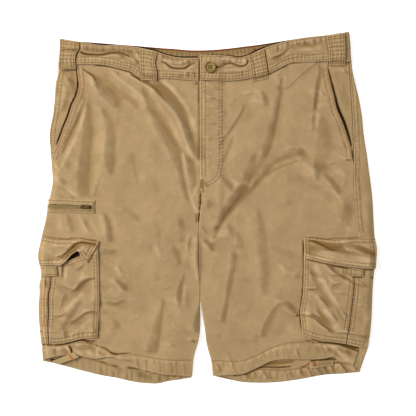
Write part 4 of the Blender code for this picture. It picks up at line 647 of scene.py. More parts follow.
# along the flaps' upper seams
FLAP_LINES = [
    Gap([(-272, -45.5, 0.5), (-250, -50, 0.8), (-233, -51, 0.7), (-215, -49.7, 0.9), (-197, -52, 0.9),
         (-180, -54.5, 1)], 0.6, 0.8),
    Gap([(157, -48, 0.7), (175, -50, 0.8), (194, -51.5, 1), (210, -51, 0.7), (227, -50, 0.9), (250, -49, 0.7),
         (273, -47, 0.7)], 0.6, 0.8),
]
BODY_GAPS = [
    # left of the fly, and between the legs
    Gap([(-14.2, 212, 0.8), (-14.2, 190, 0.9), (-14.2, 170, 0.8)], 0.95, 1.2),
    Gap([(-14.2, 170, 0.5), (-14.2, 130, 0.5), (-14, 100, 0.7), (-13.5, 78, 0.7)], 0.65, 1.2),
    Gap([(-14.5, 206, 1.6), (-19, 205, 1), (-26, 207, 0.5)], 0.6, 1.2),
    Gap([(-12, 30, 1), (-11.5, 16, 1.4), (-12.5, 4, 1.8), (-13.5, -6, 1.2)], 0.8, 1.2),
    Gap([(-13.5, -6, 1.6), (-14.4, -16, 1.6), (-14.4, -26, 0.8)], 0.85, 1.2),
    Gap([(-14.4, -24, 0.6), (-14.4, -45, 0.6), (-14.4, -56, 0.7)], 0.4, 1),
    Gap([(-14.4, -54, 0.8), (-14.4, -86, 1), (-13, -120, 0.7), (-12.5, -152, 0.9), (-12, -186, 0.8)], 0.5,
         1.2),
    # the folds that run from the right hip to the crotch, and the fly's own creases
    Gap([(152, 79, 2), (122, 68, 4), (95, 54, 5), (70, 29.5, 6), (45, 5, 6), (21, -28, 5), (9, -53, 3)], 0.2,
         5),
    Gap([(119, 194, 2), (115, 161, 4), (103, 112, 5), (90, 79, 5), (68, 44, 4)], 0.1, 4),
    Gap([(-92, 193, 3), (-68, 165, 5), (-46, 128, 4), (-36, 100, 2)], 0.12, 4),
    Gap([(0, 196, 8), (0, 140, 9), (0, 70, 7)], 0.05, 4),
    # the broad hollow under the left hip
    Gap([(-183, 208, 3), (-168, 194, 8), (-150, 182, 10), (-146, 160, 5), (-150, 135, 2)], 0.1, 8),
    *creases([
        (0, 188, 9, 186), (-3, 176, 7, 174), (1, 163, 11, 165), (-3, 152, 6, 153), (0, 139, 10, 137),
        (-4, 127, 5, 129), (0, 113, 8, 115), (-3, 98, 6, 94), (0, 82, 7, 84),
    ], 0.26, 0.2),
    *[Gap([(x0, y0, 1.3), (x1, y1, 1.3)], 0.5, 0.9) for x0, y0, x1, y1 in (
        (-13, 46, -5, 45), (-13, 42, -5, 41), (-13, 38, -5, 37), (-12, 34, -6, 33), (-11, 48, -11, 31),
        (-7, 48, -7, 31), (-4, 40, 2, 34), (-9, 31, -5, 24),
    )],
    Gap([(-18, -8, 2), (-19, -26, 1.5)], 0.5, 2),
    # under the waistband
    Gap([(-191, 234.5, 0.6), (-172, 234.5, 1), (-157, 232.5, 1.2), (-144, 229, 1.3), (-127, 224, 1.4),
         (-111, 219, 1.6)], 0.95, 1.1),
    Gap([(-130, 221.5, 1.2), (-119, 216, 2.4), (-111, 211, 2.8), (-108, 207, 1.5)], 0.6, 2),
    Gap([(-110, 208, 1.5), (-97, 204, 2.5), (-87, 197, 2.5), (-77, 186, 2), (-68, 176, 1)], 0.4, 3),
    Gap([(-208, 231, 0.6), (-203, 227, 1.2), (-196, 222, 1.3), (-188, 217, 1), (-184, 208, 0.7)], 0.75, 1.2),
    Gap([(-110, 210, 1), (-98, 207.5, 0.9), (-83, 207, 0.8)], 0.6, 1),
    Gap([(-148, 226, 1.5), (-147, 218, 1.5)], 0.35, 1.5),
    Gap([(-10, 211, 0.8), (0, 210, 1), (8, 212, 0.8), (22, 210.5, 1), (43, 210, 0.7)], 0.55, 1),
    Gap([(99, 219, 1), (111, 226, 1), (123, 231.5, 0.8), (133, 236.5, 0.6)], 0.75, 1),
    Gap([(136, 238, 0.8), (152, 239, 0.9), (170, 239.5, 0.7)], 0.7, 1),
    Gap([(73, 209, 0.7), (87, 210, 0.7), (99, 212.5, 0.7)], 0.4, 0.8),
    Gap([(203, 232.5, 0.8), (215, 233, 1.1), (226, 234, 0.7)], 0.8, 1),
    Gap([(-245, 226.5, 0.8), (-230, 226, 0.9), (-217, 226.5, 0.6)], 0.6, 1),
    # round the cargo pockets and flaps
    Gap([(158, -50, 1.2), (158, -82, 1.3), (158, -118, 1.4), (156.5, -140, 1.3), (154, -160, 0.9),
         (152.5, -172, 1.6), (153.5, -186, 1.6), (155.5, -205, 0.7)], 0.92, 1),
    Gap([(145, -177, 0.8), (152, -178.5, 1.5)], 0.85, 1),
    Gap([(158, -208.5, 0.8), (170, -213.5, 1), (184, -221, 1.2), (204, -223, 1.6), (227, -226.5, 2.2),
         (243, -230, 2.4), (256, -232.5, 1.6)], 0.95, 1),
    Gap([(176, -219, 1.5), (172, -225, 1)], 0.6, 1.5),
    Gap([(-178, -72, 0.5), (-177, -112, 0.5), (-176.6, -134, 0.8), (-176.3, -168, 0.7), (-177.5, -190, 1.1),
         (-180, -210, 0.9)], 0.3, 1),
    MOUTH,
    Gap([(-274, -225.5, 0.9), (-244, -226.5, 1), (-231, -224, 1.5), (-219, -220, 1.5), (-207, -217.5, 1.9),
         (-194, -220, 1.2), (-182, -220, 0.8)], 0.92, 1),
    Gap([(-178, -229, 0.7), (-167.5, -232.5, 1), (-161, -238, 1.3), (-154, -241.5, 1.6), (-140, -240, 0.8),
         (-124, -239, 0.3)], 0.9, 1),
    Gap([(-185, -226, 1), (-182, -229, 1)], 0.8, 1),
    Gap([(-230, -226, 1.5), (-225, -233, 2), (-223.5, -241, 1.8)], 1.0, 1),
    Gap([(-210, -217.5, 1.4), (-196, -222, 1.5), (-180, -226, 0.8)], 0.5, 1.5),
    Gap([(-250, -229, 1), (-252, -238, 1), (-249, -246, 0.8)], 0.45, 1),
    Gap([(-253, -232, 0.8), (-252, -244, 0.8)], 0.45, 1),
    Gap([(-271, -226, 0.8), (-269, -238, 0.8), (-266, -246, 0.6)], 0.45, 1),
    Gap([(-233, -236, 1), (-234, -243, 1)], 0.4, 1),
    *FLAP_LINES,
    # creases in the hems
    *creases(FRONT_HEM_CREASES, 0.38),
    Gap([(-29, -218, 0.8), (-18, -222, 1)], 0.5, 1),
    Gap([(213, -227, 0.8), (224, -240, 0.8)], 0.3, 1.5),
    Gap([(208, -221, 1), (225, -228.5, 1.8), (243, -234.5, 2), (254, -238, 1)], 0.6, 1.6),
    Gap([(160, -215, 0.8), (164, -219, 1.5), (176, -218, 1)], 0.6, 1.2),
    Gap([(-216, -231, 1), (-205, -233, 1.4), (-192, -231, 1)], 0.3, 2),
    Gap([(-210, -246, 0.7), (-193, -250, 0.7), (-178, -250.5, 0.7), (-160, -249, 0.6)], 0.4, 1),
    Gap([(9, -240, 0.8), (12, -232, 0.8)], 0.3, 1.5),
]
BACK_GAPS = [
    *creases(BACK_HEM_CREASES[:5] + BACK_HEM_CREASES[10:], 0.48),
    *creases(BACK_HEM_CREASES[5:10], 0.85, 0.25),
    Gap([(-270, -251, 0.5), (-262, -250, 1.2), (-256, -251.5, 3), (-250, -251, 2.6), (-240, -246.5, 1.4),
         (-230, -244, 0.7)], 1.0, 1),
    Gap([(-209, -245.5, 0.9), (-188, -250.5, 1), (-167, -257, 0.9), (-146, -263, 0.7)], 0.7, 1),
    Gap([(-135, -263, 1.5), (-120, -266, 1.6), (-108, -268, 1), (-90, -273, 0.7), (-70, -277, 0.8),
         (-40, -280, 0.8)], 0.6, 1.2),
    Gap([(18, -279, 1), (30, -281, 1), (45, -283, 0.6)], 0.55, 1),
    Gap([(40, -277.5, 0.8), (60, -275.5, 0.8), (76, -269, 1), (84, -264.5, 1.2), (110, -263.5, 1.4),
         (126, -263, 1.4), (140, -262, 0.6)], 0.85, 1),
    Gap([(92, -259, 2), (110, -257, 3.5), (130, -255, 3.5), (145, -253, 2)], 0.4, 3),
    Gap([(168, -254, 1.2), (180, -251.5, 1.6), (196, -250.5, 1.8), (208, -250, 1.4), (215, -252, 1)], 0.97,
         1),
    Gap([(152, -264, 0.7), (162, -261, 1), (170, -256, 1.4)], 0.8, 1),
    Gap([(186, -262, 0.7), (205, -258, 0.8), (222, -255, 1.3), (230, -258, 0.8)], 0.75, 1),
    Gap([(243, -262, 1), (248, -268, 1.2)], 0.7, 1),
]
BAND_GAPS = [
    Gap([(-210.5, 272, 0.7), (-211, 261, 1.3), (-214.5, 255, 1.5), (-216.5, 246, 1.1), (-216, 230, 0.8)],
         0.92, 1),
    Gap([(-211, 259, 1.3), (-207, 255.5, 1.8), (-199, 253.5, 1.7), (-187, 253, 1.3), (-174, 252.7, 1.3),
         (-164, 254.5, 1.1), (-156, 255.5, 0.9), (-144, 255.3, 1), (-134, 252, 1.2), (-126, 248, 1.3)], 0.85,
         1.3),
    Gap([(-111, 236, 0.6), (-110.5, 222, 1), (-110, 211, 1)], 0.85, 1),
    Gap([(-82, 256, 0.9), (-84.5, 246, 1), (-85.5, 236, 0.7), (-83, 224, 1), (-82.5, 209, 1.2)], 0.92, 1),
    Gap([(-79, 240.5, 0.7), (-72, 240, 0.8), (-65, 235, 1), (-58.5, 230.8, 1.2), (-48.5, 230, 1.1),
         (-37, 230.8, 1.1), (-30.5, 235, 0.8), (-24, 238, 0.5), (-17, 239.5, 0.3)], 0.85, 1),
    Gap([(11, 233, 2.2), (17, 231, 1.6)], 1.0, 1),
    Gap([(11, 232.5, 1.3), (17, 231.5, 1.1), (22, 231.6, 0.9), (30.5, 236.5, 0.9), (39, 238, 0.9),
         (47, 236, 0.8), (55, 233.5, 1), (62, 234, 1.1), (66, 239, 1.4), (66, 247, 1.2)], 0.85, 1),
    Gap([(93.5, 262, 0.9), (95, 252, 1.3), (96.5, 245, 0.6), (99, 230, 0.7), (101, 214, 1)], 0.85, 1),
    Gap([(139, 265.5, 0.3), (129.5, 259, 0.6), (119.5, 251, 0.7), (111, 246.5, 0.5)], 0.6, 1),
    Gap([(195, 282, 0.8), (198, 262, 0.8), (200, 240, 0.7)], 0.6, 1),
    Gap([(75, 230, 0.5), (75, 210, 0.7)], 0.35, 1),
    Gap([(-240, 255, 15), (-170, 251, 14), (-110, 240, 14), (-60, 231, 14), (-14, 229, 14)], 0.07, 4),
    Gap([(-12, 231, 14), (60, 231, 13), (100, 243, 14), (150, 261, 14), (228, 266, 14)], 0.08, 4),
    Gap([(-208, 265, 5), (-172, 261, 5), (-144, 260.5, 4.5), (-108, 255, 4)], 0.22, 4),
    Gap([(-80, 250, 3), (-60, 244, 3), (-40, 242, 3), (-14, 242, 3)], 0.14, 3),
    Gap([(100, 258, 4), (141, 271, 4), (190, 278, 4)], 0.12, 4),
]
BACK_BAND_GAPS = [
    Gap([(-210, 274.5, 1), (-172, 269.2, 0.9), (-144, 268.5, 1.1), (-108, 264.5, 1.9), (-88, 260, 2.4),
         (-78, 256.5, 2.1), (-68, 253, 2.1), (-50, 249.5, 2.1), (-14, 249, 2)], 1.0, 1),
    Gap([(-13, 253, 1), (9, 252.5, 1), (37, 251.3, 1.4), (54, 249.5, 1.6), (66, 252.5, 1.7), (78, 258.5, 2),
         (92, 264.5, 1.9), (105, 268.5, 1.1), (120, 273, 0.9), (141, 278, 0.7), (169, 282.3, 0.6)], 0.96, 1),
    Gap([(7, 260, 1.2), (10, 251, 1.2)], 0.6, 2),
    Gap([(-110, 268, 3), (-78, 259, 6), (-40, 256, 6), (0, 255, 6), (40, 257, 6), (78, 262, 5),
         (110, 271, 3)], 0.26, 4),
    Gap([(51, 262, 0.8), (51, 252, 0.8)], 0.5, 1.5),
    Gap([(77, 266, 1.6), (80, 258, 2)], 0.75, 2),
    Gap([(-46, 262, 1), (-45, 250, 1)], 0.5, 2),
    Gap([(-62, 262, 1), (-62, 252, 1)], 0.4, 2),
    Gap([(-30, 260, 1), (-30, 250, 1)], 0.35, 2),
]
FACING_GAPS = [
    Gap([(-216.5, 231, 1), (-214.8, 214, 1.8), (-214.2, 202, 2.1), (-218, 185, 2.5), (-225.5, 169, 2.7),
         (-230.5, 153, 2.7), (-239, 132, 2.5), (-247, 111, 2.1), (-250, 102, 1)], 1.0, 1),
    Gap([(199.5, 231, 1), (202, 219, 1.4), (206, 203, 2), (211, 184, 2.4), (215.5, 166, 3), (226, 141, 3),
         (234.5, 115, 2), (238, 100, 1.2)], 1.0, 1),
    # the shade that the waistband and the slanted edges throw on the facings
    Gap([(-223, 226, 5), (-225, 205, 6), (-235, 175, 4), (-247, 150, 2)], 0.17, 5),
    Gap([(211, 226, 4), (220, 195, 5), (231, 160, 3)], 0.14, 5),
]
POCKET_GAPS = [
    Gap([(-257.3, -116, 0.4), (-258.5, -128, 0.9), (-261, -138, 1.3), (-262.2, -152, 1.5),
         (-261.7, -172, 1.2), (-262.7, -192, 0.5), (-262, -214, 0.3)], 0.65, 1),
    Gap([(242, -114, 0.9), (241.3, -136, 0.9), (238.3, -162, 0.9), (235.8, -184, 0.8), (231.5, -212, 0.7)],
         0.6, 0.8),
    MOUTH,
    Gap([(-236.5, -89, 1), (-239, -97, 1), (-238, -108, 0.6)], 0.7, 1),
    Gap([(-249, -98, 1.4), (-247, -108, 1.4), (-249, -114, 1)], 0.6, 1.2),
    Gap([(160, -84.5, 1), (172, -87, 1), (190, -91.5, 0.8), (203, -94.5, 0.8), (218, -97.5, 1.6),
         (232, -100, 1), (250, -102, 0.6), (275, -102, 0.8)], 0.85, 1),
    Gap([(257.5, -101, 1.2), (257.5, -112, 0.9)], 0.8, 1),
    Gap([(236, -114.5, 0.9), (257, -114.5, 1.1)], 0.7, 1),
    Gap([(268, -113, 1.5), (275, -117, 1.8)], 0.7, 1.5),
    Gap([(-270, -114.5, 0.6), (-248, -113.5, 0.6)], 0.35, 0.8),
    Gap([(-277, -203, 1.5), (-272, -203.5, 1)], 0.7, 1),
    Gap([(-183, -116, 1), (-200, -120, 1.6), (-213, -132, 2), (-227, -141, 1.2)], 0.26, 2),
    Gap([(-182, -172, 1), (-197, -171.5, 1.4), (-210, -180, 1.6), (-222, -190, 1.4), (-233, -202, 1)], 0.24,
         2),
    Gap([(-252, -124, 1.2), (-236, -131, 1.8), (-219, -136, 1)], 0.16, 2),
    Gap([(-241, -171, 0.8), (-251, -180, 1.4), (-236, -177, 0.8)], 0.22, 1.5),
    Gap([(153, -177, 1.2), (172, -180, 1.5), (189, -193, 1.6), (209, -205, 1)], 0.42, 1.6),
    Gap([(161, -132, 1), (177, -135.5, 1)], 0.34, 1.5),
    Gap([(202, -111, 1), (227, -114, 1.4), (240, -124, 1.4), (265, -132, 0.8)], 0.42, 1.5),
    Gap([(202, -135.5, 0.8), (216, -130, 1), (227, -119, 0.6)], 0.26, 1.5),
    Gap([(210, -160, 0.8), (218, -176, 1), (227, -188, 0.6)], 0.32, 1.5),
    Gap([(182, -152, 0.6), (195, -168, 0.8)], 0.28, 1.5),
    Gap([(212, -206, 0.6), (236, -207, 1), (271, -213, 0.8)], 0.34, 1.5),
]
FLAP_GAPS = [
    *FLAP_LINES,
    Gap([(-226, -68, 2), (-217, -59.5, 3), (-206, -56.5, 1.8), (-190, -58.5, 1.5), (-181, -59.5, 1)], 0.35,
         3),
    Gap([(163, -54, 0.8), (175, -56.5, 3), (190, -60, 5.5), (206, -62, 6), (226, -63, 4)], 0.38, 2.2),
    Gap([(222, -59, 3), (236, -62, 5), (250, -66, 6), (264, -72, 5), (275, -78, 3)], 0.28, 2.5),
    Gap([(-181, -60, 1.2), (-191, -58.5, 1.6), (-200, -57, 1.8), (-209, -56.5, 1.8), (-216, -59, 2.2),
         (-222, -65, 2), (-229, -72, 1.4), (-239, -78.5, 0.6)], 0.72, 2),
    Gap([(163, -53, 0.9), (171, -53.3, 1.1), (179, -56, 1.6), (187, -60.5, 1.6), (196, -65.5, 1.4),
         (204, -68.5, 1.4), (218, -68.5, 0.6)], 0.72, 1.5),
    Gap([(228, -57, 0.8), (250, -56, 0.8), (262, -58, 0.6)], 0.35, 1.5),
]

# ---- Seams ----

# A seam runs along a line. Its stitched rows lie to the line's left (to its right where negative), and the
# cloth puckers between two distances from the line, so deep, in waves of so many millimetres, which slant.
Seam = namedtuple("Seam", "line rows band pucker wave slant")

TOP_TO_FOOT = [(-10.5, 245), (-11, 200), (-11, 120), (-11, 52)]
FRONT_SEAMS = [
    Seam(TOP_TO_FOOT, (1.5, 7.5), (-1, 12), 0.35, 6, 0.4),
    Seam(FLY_STITCH, (0, -5), (-9, 4), 0.65, 5.5, 0.2),
    Seam([(-11, 33), (-11.5, 20), (-12.2, 6)], (2.5, -2.5), (-5, 5), 0.35, 5, 0),
    Seam(SLASH_LEFT, (2, 8.5), (-1, 12), 0.6, 4.4, 0.3),
    Seam(SLASH_RIGHT, (-2, -8.5), (-12, 1), 0.6, 4.4, 0.3),
    Seam([(-275, -223), (-219, -220), (-182, -225), (-158, -236), (-113, -241.5), (-78, -247.5), (-24, -250)],
         (-2,), (-28, 3), 0.3, 17, 0.35),
    Seam([(6, -250), (66, -248.5), (88, -238), (114, -226), (205, -222.5), (248, -228)],
         (-2,), (-28, 3), 0.3, 17, -0.35),
]
SIDE_SEAM_LEFT = [(-246, 226), (-252, 188), (-256, 153), (-260.5, 130), (-261, 105)]
BACK_SEAMS = [
    Seam(BACK_HEM_LEFT, (-1.5,), (-26, 2), 0.35, 10, 0.3),
    Seam(BACK_HEM_RIGHT, (-1.5,), (-26, 2), 0.35, 10, -0.3),
    Seam([(x, y) for y, x in RIGHT_SEAM if -50 < y < 238], (2.5, 9), (0, 12), 0.4, 5, 0),
]
FACING_SEAMS = [
    Seam(SIDE_SEAM_LEFT, (3, 9), (0, 12), 0.35, 5, 0),
]
BAND_SEAMS = [
    Seam(BAND_FOOT_LEFT, (3, 7, 12), (0, 15), 0.5, 5.5, 0.1),
    Seam(BAND_FOOT_RIGHT, (3, 7, 12), (0, 15), 0.5, 5.5, -0.1),
    Seam(BAND_TOP_LEFT, (-2.5,), (-14, 0), 0.35, 8, 0.2),
    Seam(BAND_TOP_RIGHT, (-2.5,), (-14, 0), 0.35, 8, -0.2),
    Seam([(-10, 250), (-10, 212)], (0,), (-3, 4), 0.25, 5, 0),
]
BACK_BAND_SEAMS = [
    Seam(BAND_TOP_BACK, (-3,), (-22, 0), 0.8, 8, 0.1),
]
POCKET_SEAMS = [
    Seam(SLIT_LEFT, (2.5, 7.5, -2.5, -7.5), (-11, 11), 0.35, 5, 0),
    Seam(POCKET_EDGE_LEFT, (-2.5, -7), (-10, 0), 0.35, 5.5, 0),
    Seam(POCKET_FOOT_LEFT, (3, 9), (0, 12), 0.35, 6, 0),
    Seam([(-274, -98), (-276, -140), (-276.5, -180), (-273, -220)], (3, 8), (0, 11), 0.3, 5, 0),
    Seam(SLIT_RIGHT, (2.5, 7.5, -2.5, -7.5), (-11, 11), 0.35, 5, 0),
    Seam(POCKET_EDGE_RIGHT, (2.5, 7), (0, 10), 0.35, 5.5, 0),
    Seam(POCKET_FOOT_RIGHT, (3, 9), (0, 12), 0.35, 6, 0),
    Seam([(-234, -89), (-211, -79), (-190, -75)], (-3, -8), (-10, 0), 0.3, 5, 0),
]
FLAP_SEAMS = [
    Seam(FLAP_TOP_LEFT, (-2.5, -8), (-11, 0), 0.3, 5.5, 0),
    Seam(FLAP_EDGE_LEFT, (3, 8.5), (0, 11), 0.35, 5.5, 0),
    Seam(FLAP_CORNER_LEFT, (-3, -8.5), (-11, 0), 0.3, 5, 0),
    Seam(FLAP_TOP_RIGHT, (-2.5, -8), (-11, 0), 0.3, 5.5, 0),
    Seam(FLAP_EDGE_RIGHT, (3, 8.5), (0, 11), 0.35, 5.5, 0),
    Seam([(159.5, -52), (159.5, -80)], (3, 8.5), (0, 11), 0.3, 5, 0),
    Seam([(275, -52), (278, -75), (276, -98)], (-3, -8.5), (-11, 0), 0.3, 5, 0),
]

# ---- Lines and fields ----


def ease(share):
    share = np.clip(share, 0.0, 1.0)
    return share * share * (3.0 - 2.0 * share)


def above(place, start, over):
    """0 up to start, and 1 from start + over on."""
    return ease((place - start) / over)


def below(place, start, over):
    """0 down to start, and 1 from start - over on."""
    return ease((start - place) / over)


SMOOTH_STEPS = 12  # a smooth line is drawn in this many steps for each of its points


def smooth_line(points, shares):
    """Points at those shares of the length of a smooth line through the given ones."""
    knots = np.array(points, float)
    at = np.concatenate([[0], np.cumsum(np.linalg.norm(np.diff(knots, axis=0), axis=1))])
    line, run = knots, at
    if len(knots) > 2:
        slope = np.gradient(knots, at, axis=0)
        fine = np.linspace(0, at[-1], SMOOTH_STEPS * len(knots))
        k = np.clip(np.searchsorted(at, fine, side="right") - 1, 0, len(knots) - 2)
        span = (at[k + 1] - at[k])[:, None]
        t = (fine[:, None] - at[k][:, None]) / span
        line = (
            (2 * t**3 - 3 * t**2 + 1) * knots[k]
            + (t**3 - 2 * t**2 + t) * span * slope[k]
            + (3 * t**2 - 2 * t**3) * knots[k + 1]
            + (t**3 - t**2) * span * slope[k + 1]
        )
        run = np.concatenate([[0], np.cumsum(np.linalg.norm(np.diff(line, axis=0), axis=1))])
    even = np.asarray(shares) * run[-1]
    return np.column_stack([np.interp(even, run, line[:, 0]), np.interp(even, run, line[:, 1])])


def line_length(points):
    return float(np.linalg.norm(np.diff(np.array(points, float), axis=0), axis=1).sum())


def side_at(table, y):
    """Where the side in that table lies at height y."""
    rows = np.array(table[::-1], float)
    return np.interp(y, rows[:, 0], rows[:, 1])


def across_at(line, y):
    """Where a line from the top down lies at height y."""
    return side_at([(v, u) for u, v in line], y)


def height_at(line, x):
    """How high a line from left to right lies at x."""
    rows = np.array(line, float)
    return np.interp(x, rows[:, 0], rows[:, 1])


def side_points(table, top, bottom, inset=0.0):
    """The table's own points between two heights, moved in from the side."""
    return [(x + inset, y) for y, x in table if bottom < y < top]


def shifted(points, dx=0.0, dy=0.0):
    return [(x + dx, y + dy) for x, y in points]


RASTER_LEFT, RASTER_FOOT, RASTER_STEP = -292.0, -304.0, 1.0
RASTER_COLUMNS, RASTER_ROWS = 586, 610
GRID_X, GRID_Y = np.meshgrid(
    RASTER_LEFT + RASTER_STEP * np.arange(RASTER_COLUMNS),
    RASTER_FOOT + RASTER_STEP * np.arange(RASTER_ROWS),
)
LINE_STEP = 5.0  # a curved line is followed in straight steps of about this length


def flat_field():
    return np.zeros_like(GRID_X)


def at(field, x, y):
    """The field's height at each point, between the raster's own points."""
    i = np.clip((x - RASTER_LEFT) / RASTER_STEP, 0, RASTER_COLUMNS - 1.001)
    j = np.clip((y - RASTER_FOOT) / RASTER_STEP, 0, RASTER_ROWS - 1.001)
    i0, j0 = i.astype(int), j.astype(int)
    s, t = i - i0, j - j0
    low = field[j0, i0] * (1 - s) + field[j0, i0 + 1] * s
    high = field[j0 + 1, i0] * (1 - s) + field[j0 + 1, i0 + 1] * s
    return low * (1 - t) + high * t


def near_line(points, reach):
    """The raster's window round a line, with each point's distance along it and, left positive, off it."""
    line = smooth_line(points, np.linspace(0, 1, max(3, round(line_length(points) / LINE_STEP)) + 1))
    first = (line.min(axis=0) - reach - (RASTER_LEFT, RASTER_FOOT)) / RASTER_STEP
    last = (line.max(axis=0) + reach - (RASTER_LEFT, RASTER_FOOT)) / RASTER_STEP
    i0, j0 = np.maximum(first.astype(int), 0)
    i1, j1 = last.astype(int) + 2
    window = np.s_[j0:j1, i0:i1]
    x, y = GRID_X[window], GRID_Y[window]
    nearest = np.full(x.shape, np.inf)
    along, side, run = np.zeros(x.shape), np.ones(x.shape), 0.0
    for a, b in zip(line[:-1], line[1:]):
        d = b - a
        step = math.hypot(*d)
        s = np.clip(((x - a[0]) * d[0] + (y - a[1]) * d[1]) / step**2, 0, 1)
        away = np.hypot(x - a[0] - s * d[0], y - a[1] - s * d[1])
        closer = away < nearest
        nearest = np.where(closer, away, nearest)
        along = np.where(closer, run + s * step, along)
        side = np.where(closer, np.where(d[0] * (y - a[1]) - d[1] * (x - a[0]) < 0, -1.0, 1.0), side)
        run += step
    return window, along, nearest * side, run


FOLD_FADE = 0.3  # the share of a fold's length over which each end fades


def fold(field, row):
    """Raises a fold on the field."""
    window, along, off, length = near_line(row.line, max(row.left, row.right))
    away = np.minimum(np.abs(off) / np.where(off > 0, row.left, row.right), 1)
    soft = 0.5 + 0.5 * np.cos(math.pi * away)
    shape = soft + ((1 - away) ** 2 - soft) * row.crisp
    ends = ease(np.minimum(along, length - along) / (FOLD_FADE * length))
    field[window] += row.rise * shape * ends


FACET_END = 9.0  # a facet fades over this much at each end
FACET_SOFTNESS = 2.1  # how much softer the facets' edges are than their tables say
LEAN_LIMIT = 0.45  # no cloth leans more than this
GAP_END = 4.0  # a gap fades over this much at each end
GAP_WIDTH = 0.75  # how wide the gaps are drawn, as a share of what their tables say
LIGHT_FROM = 158.0  # the side that the key light comes from, in degrees from +X towards +Y
ACROSS_SHARE = 0.03  # how much less the cloth bends along the light than across it
LONGEST_WAVE = 220.0  # nothing wider than this rises or falls
LEAN_GAIN = 0.95  # how much steeper the facets stand than their tables say


def spread(line, left, right, end):
    """The raster's window round a line of (x, y, half its width), and 1 inside it, faded at its rim."""
    places = np.array(line, float)
    window, along, off, length = near_line(places[:, :2], places[:, 2].max() + max(left, right))
    run = np.concatenate([[0], np.cumsum(np.linalg.norm(np.diff(places[:, :2], axis=0), axis=1))])
    half = np.interp(along, run * length / run[-1], places[:, 2])
    shape = ease((half - off) / left + 0.5) * ease((half + off) / right + 0.5)
    return window, shape * ease(np.minimum(along, length - along) / min(end, length / 3))


def lean_of(facets):
    """How steeply the cloth rises away from the light at each point."""
    lean = flat_field()
    for row in facets:
        left, right = (soft * FACET_SOFTNESS for soft in row.soft)
        window, shape = spread(row.line, left, right, FACET_END)
        lean[window] += row.lean * shape
    return LEAN_LIMIT * np.tanh(lean / LEAN_LIMIT)


def dark_of(gaps):
    """How dark the painted shade of the gaps and deep creases is at each point."""
    dark = flat_field()
    for row in gaps:
        line = [(x, y, half * GAP_WIDTH) for x, y, half in row.line]
        window, shape = spread(line, row.soft, row.soft, GAP_END)
        dark[window] = np.maximum(dark[window], row.dark * shape)
    return dark


STITCH_PITCH, STITCH_LONG, STITCH_WIDE, STITCH_HIGH = 3.6, 2.7, 0.55, 0.4
# painted shade in the dents that the stitches sit in: how dark and how wide it is
DENT_DARK, DENT_HALF = 0.4, 0.9
DENT_MEAN, DENT_SWING = 0.65, 0.35  # a row of dents is darkest between two stitches


def dents_of(seams):
    """How dark the painted shade is in the dents that each stitch of the seams sits in."""
    dark = flat_field()
    for seam in seams:
        for row in seam.rows:
            window, along, off, length = near_line(seam.line, abs(row) + 2 * DENT_HALF)
            beat = DENT_MEAN - DENT_SWING * np.cos(math.tau * along / STITCH_PITCH)
            shape = ease(1.5 - np.abs(off - row) / DENT_HALF) * beat
            inside = (along > 0) & (along < length)
            dark[window] = np.maximum(dark[window], DENT_DARK * shape * inside)
    return dark


def draped(lean):
    """The heights of cloth that leans so much at each point."""
    turn = math.radians(LIGHT_FROM + 180)
    fx = 2 * math.pi * np.fft.rfftfreq(RASTER_COLUMNS, RASTER_STEP)[None, :]
    fy = 2 * math.pi * np.fft.fftfreq(RASTER_ROWS, RASTER_STEP)[:, None]
    along = fx * math.cos(turn) + fy * math.sin(turn)
    across = fy * math.cos(turn) - fx * math.sin(turn)
    size = along**2 + ACROSS_SHARE * across**2 + (2 * math.pi / LONGEST_WAVE) ** 2
    return LEAN_GAIN * np.fft.irfft2(np.fft.rfft2(lean) * -1j * along / size, s=lean.shape)


WAVE_SPREAD = (0.55, 1.45)  # how uneven the puckers are in length
CREST_SPREAD = (0.35, 1.0)  # and in height


def ripple(along, wave, rng):
    """Uneven waves along a line, between -1 and 1."""
    count = 2 * int(np.ptp(along) / wave) + 8
    knots = along.min() - wave + np.cumsum(rng.uniform(*WAVE_SPREAD, count)) * wave / 2
    crests = rng.uniform(*CREST_SPREAD, count) * np.where(np.arange(count) % 2, 1.0, -1.0)
    k = np.clip(np.searchsorted(knots, along, side="right") - 1, 0, count - 2)
    return crests[k] + (crests[k + 1] - crests[k]) * ease((along - knots[k]) / (knots[k + 1] - knots[k]))


GROOVE_DEPTH, GROOVE_WIDTH = 0.45, 0.8
SEAM_FADE = 0.3  # the share of a seam's band over which its puckers fade
SEAM_END = 4.0  # the puckers fade over this much at each end


def sew(field, seam, rng):
    """The grooves of a seam's stitched rows, and the puckers that the thread draws up between them."""
    low, high = seam.band
    window, along, off, length = near_line(seam.line, max(abs(low), abs(high)))
    fade = SEAM_FADE * (high - low)
    inside = ease((off - low) / fade) * ease((high - off) / fade)
    inside = inside * ease(np.minimum(along, length - along) / SEAM_END)
    height = seam.pucker * ripple(along + seam.slant * off, seam.wave, rng) * inside
    for row in seam.rows:
        height -= GROOVE_DEPTH * np.exp(-(((off - row) / GROOVE_WIDTH) ** 2)) * (along > 0) * (along < length)
    field[window] += height


def blurred(field, size):
    """The field smoothed over that many millimetres."""
    fy = np.fft.fftfreq(RASTER_ROWS, RASTER_STEP)[:, None]
    fx = np.fft.rfftfreq(RASTER_COLUMNS, RASTER_STEP)[None, :]
    kept = np.exp(-2 * (math.pi * size) ** 2 * (fx**2 + fy**2))
    return np.fft.irfft2(np.fft.rfft2(field) * kept, s=field.shape)


def crumple(size, height, rng):
    """Uneven washed-in waves all over, of about that size and height."""
    waves = blurred(rng.standard_normal(GRID_X.shape), size)
    return height * waves / waves.std()


def fine_of(seams, seed):
    """A field of the seams' grooves and puckers."""
    rng = np.random.default_rng(seed)
    fine = flat_field()
    for seam in seams:
        sew(fine, seam, rng)
    return fine


# ---- The cloth's layers ----

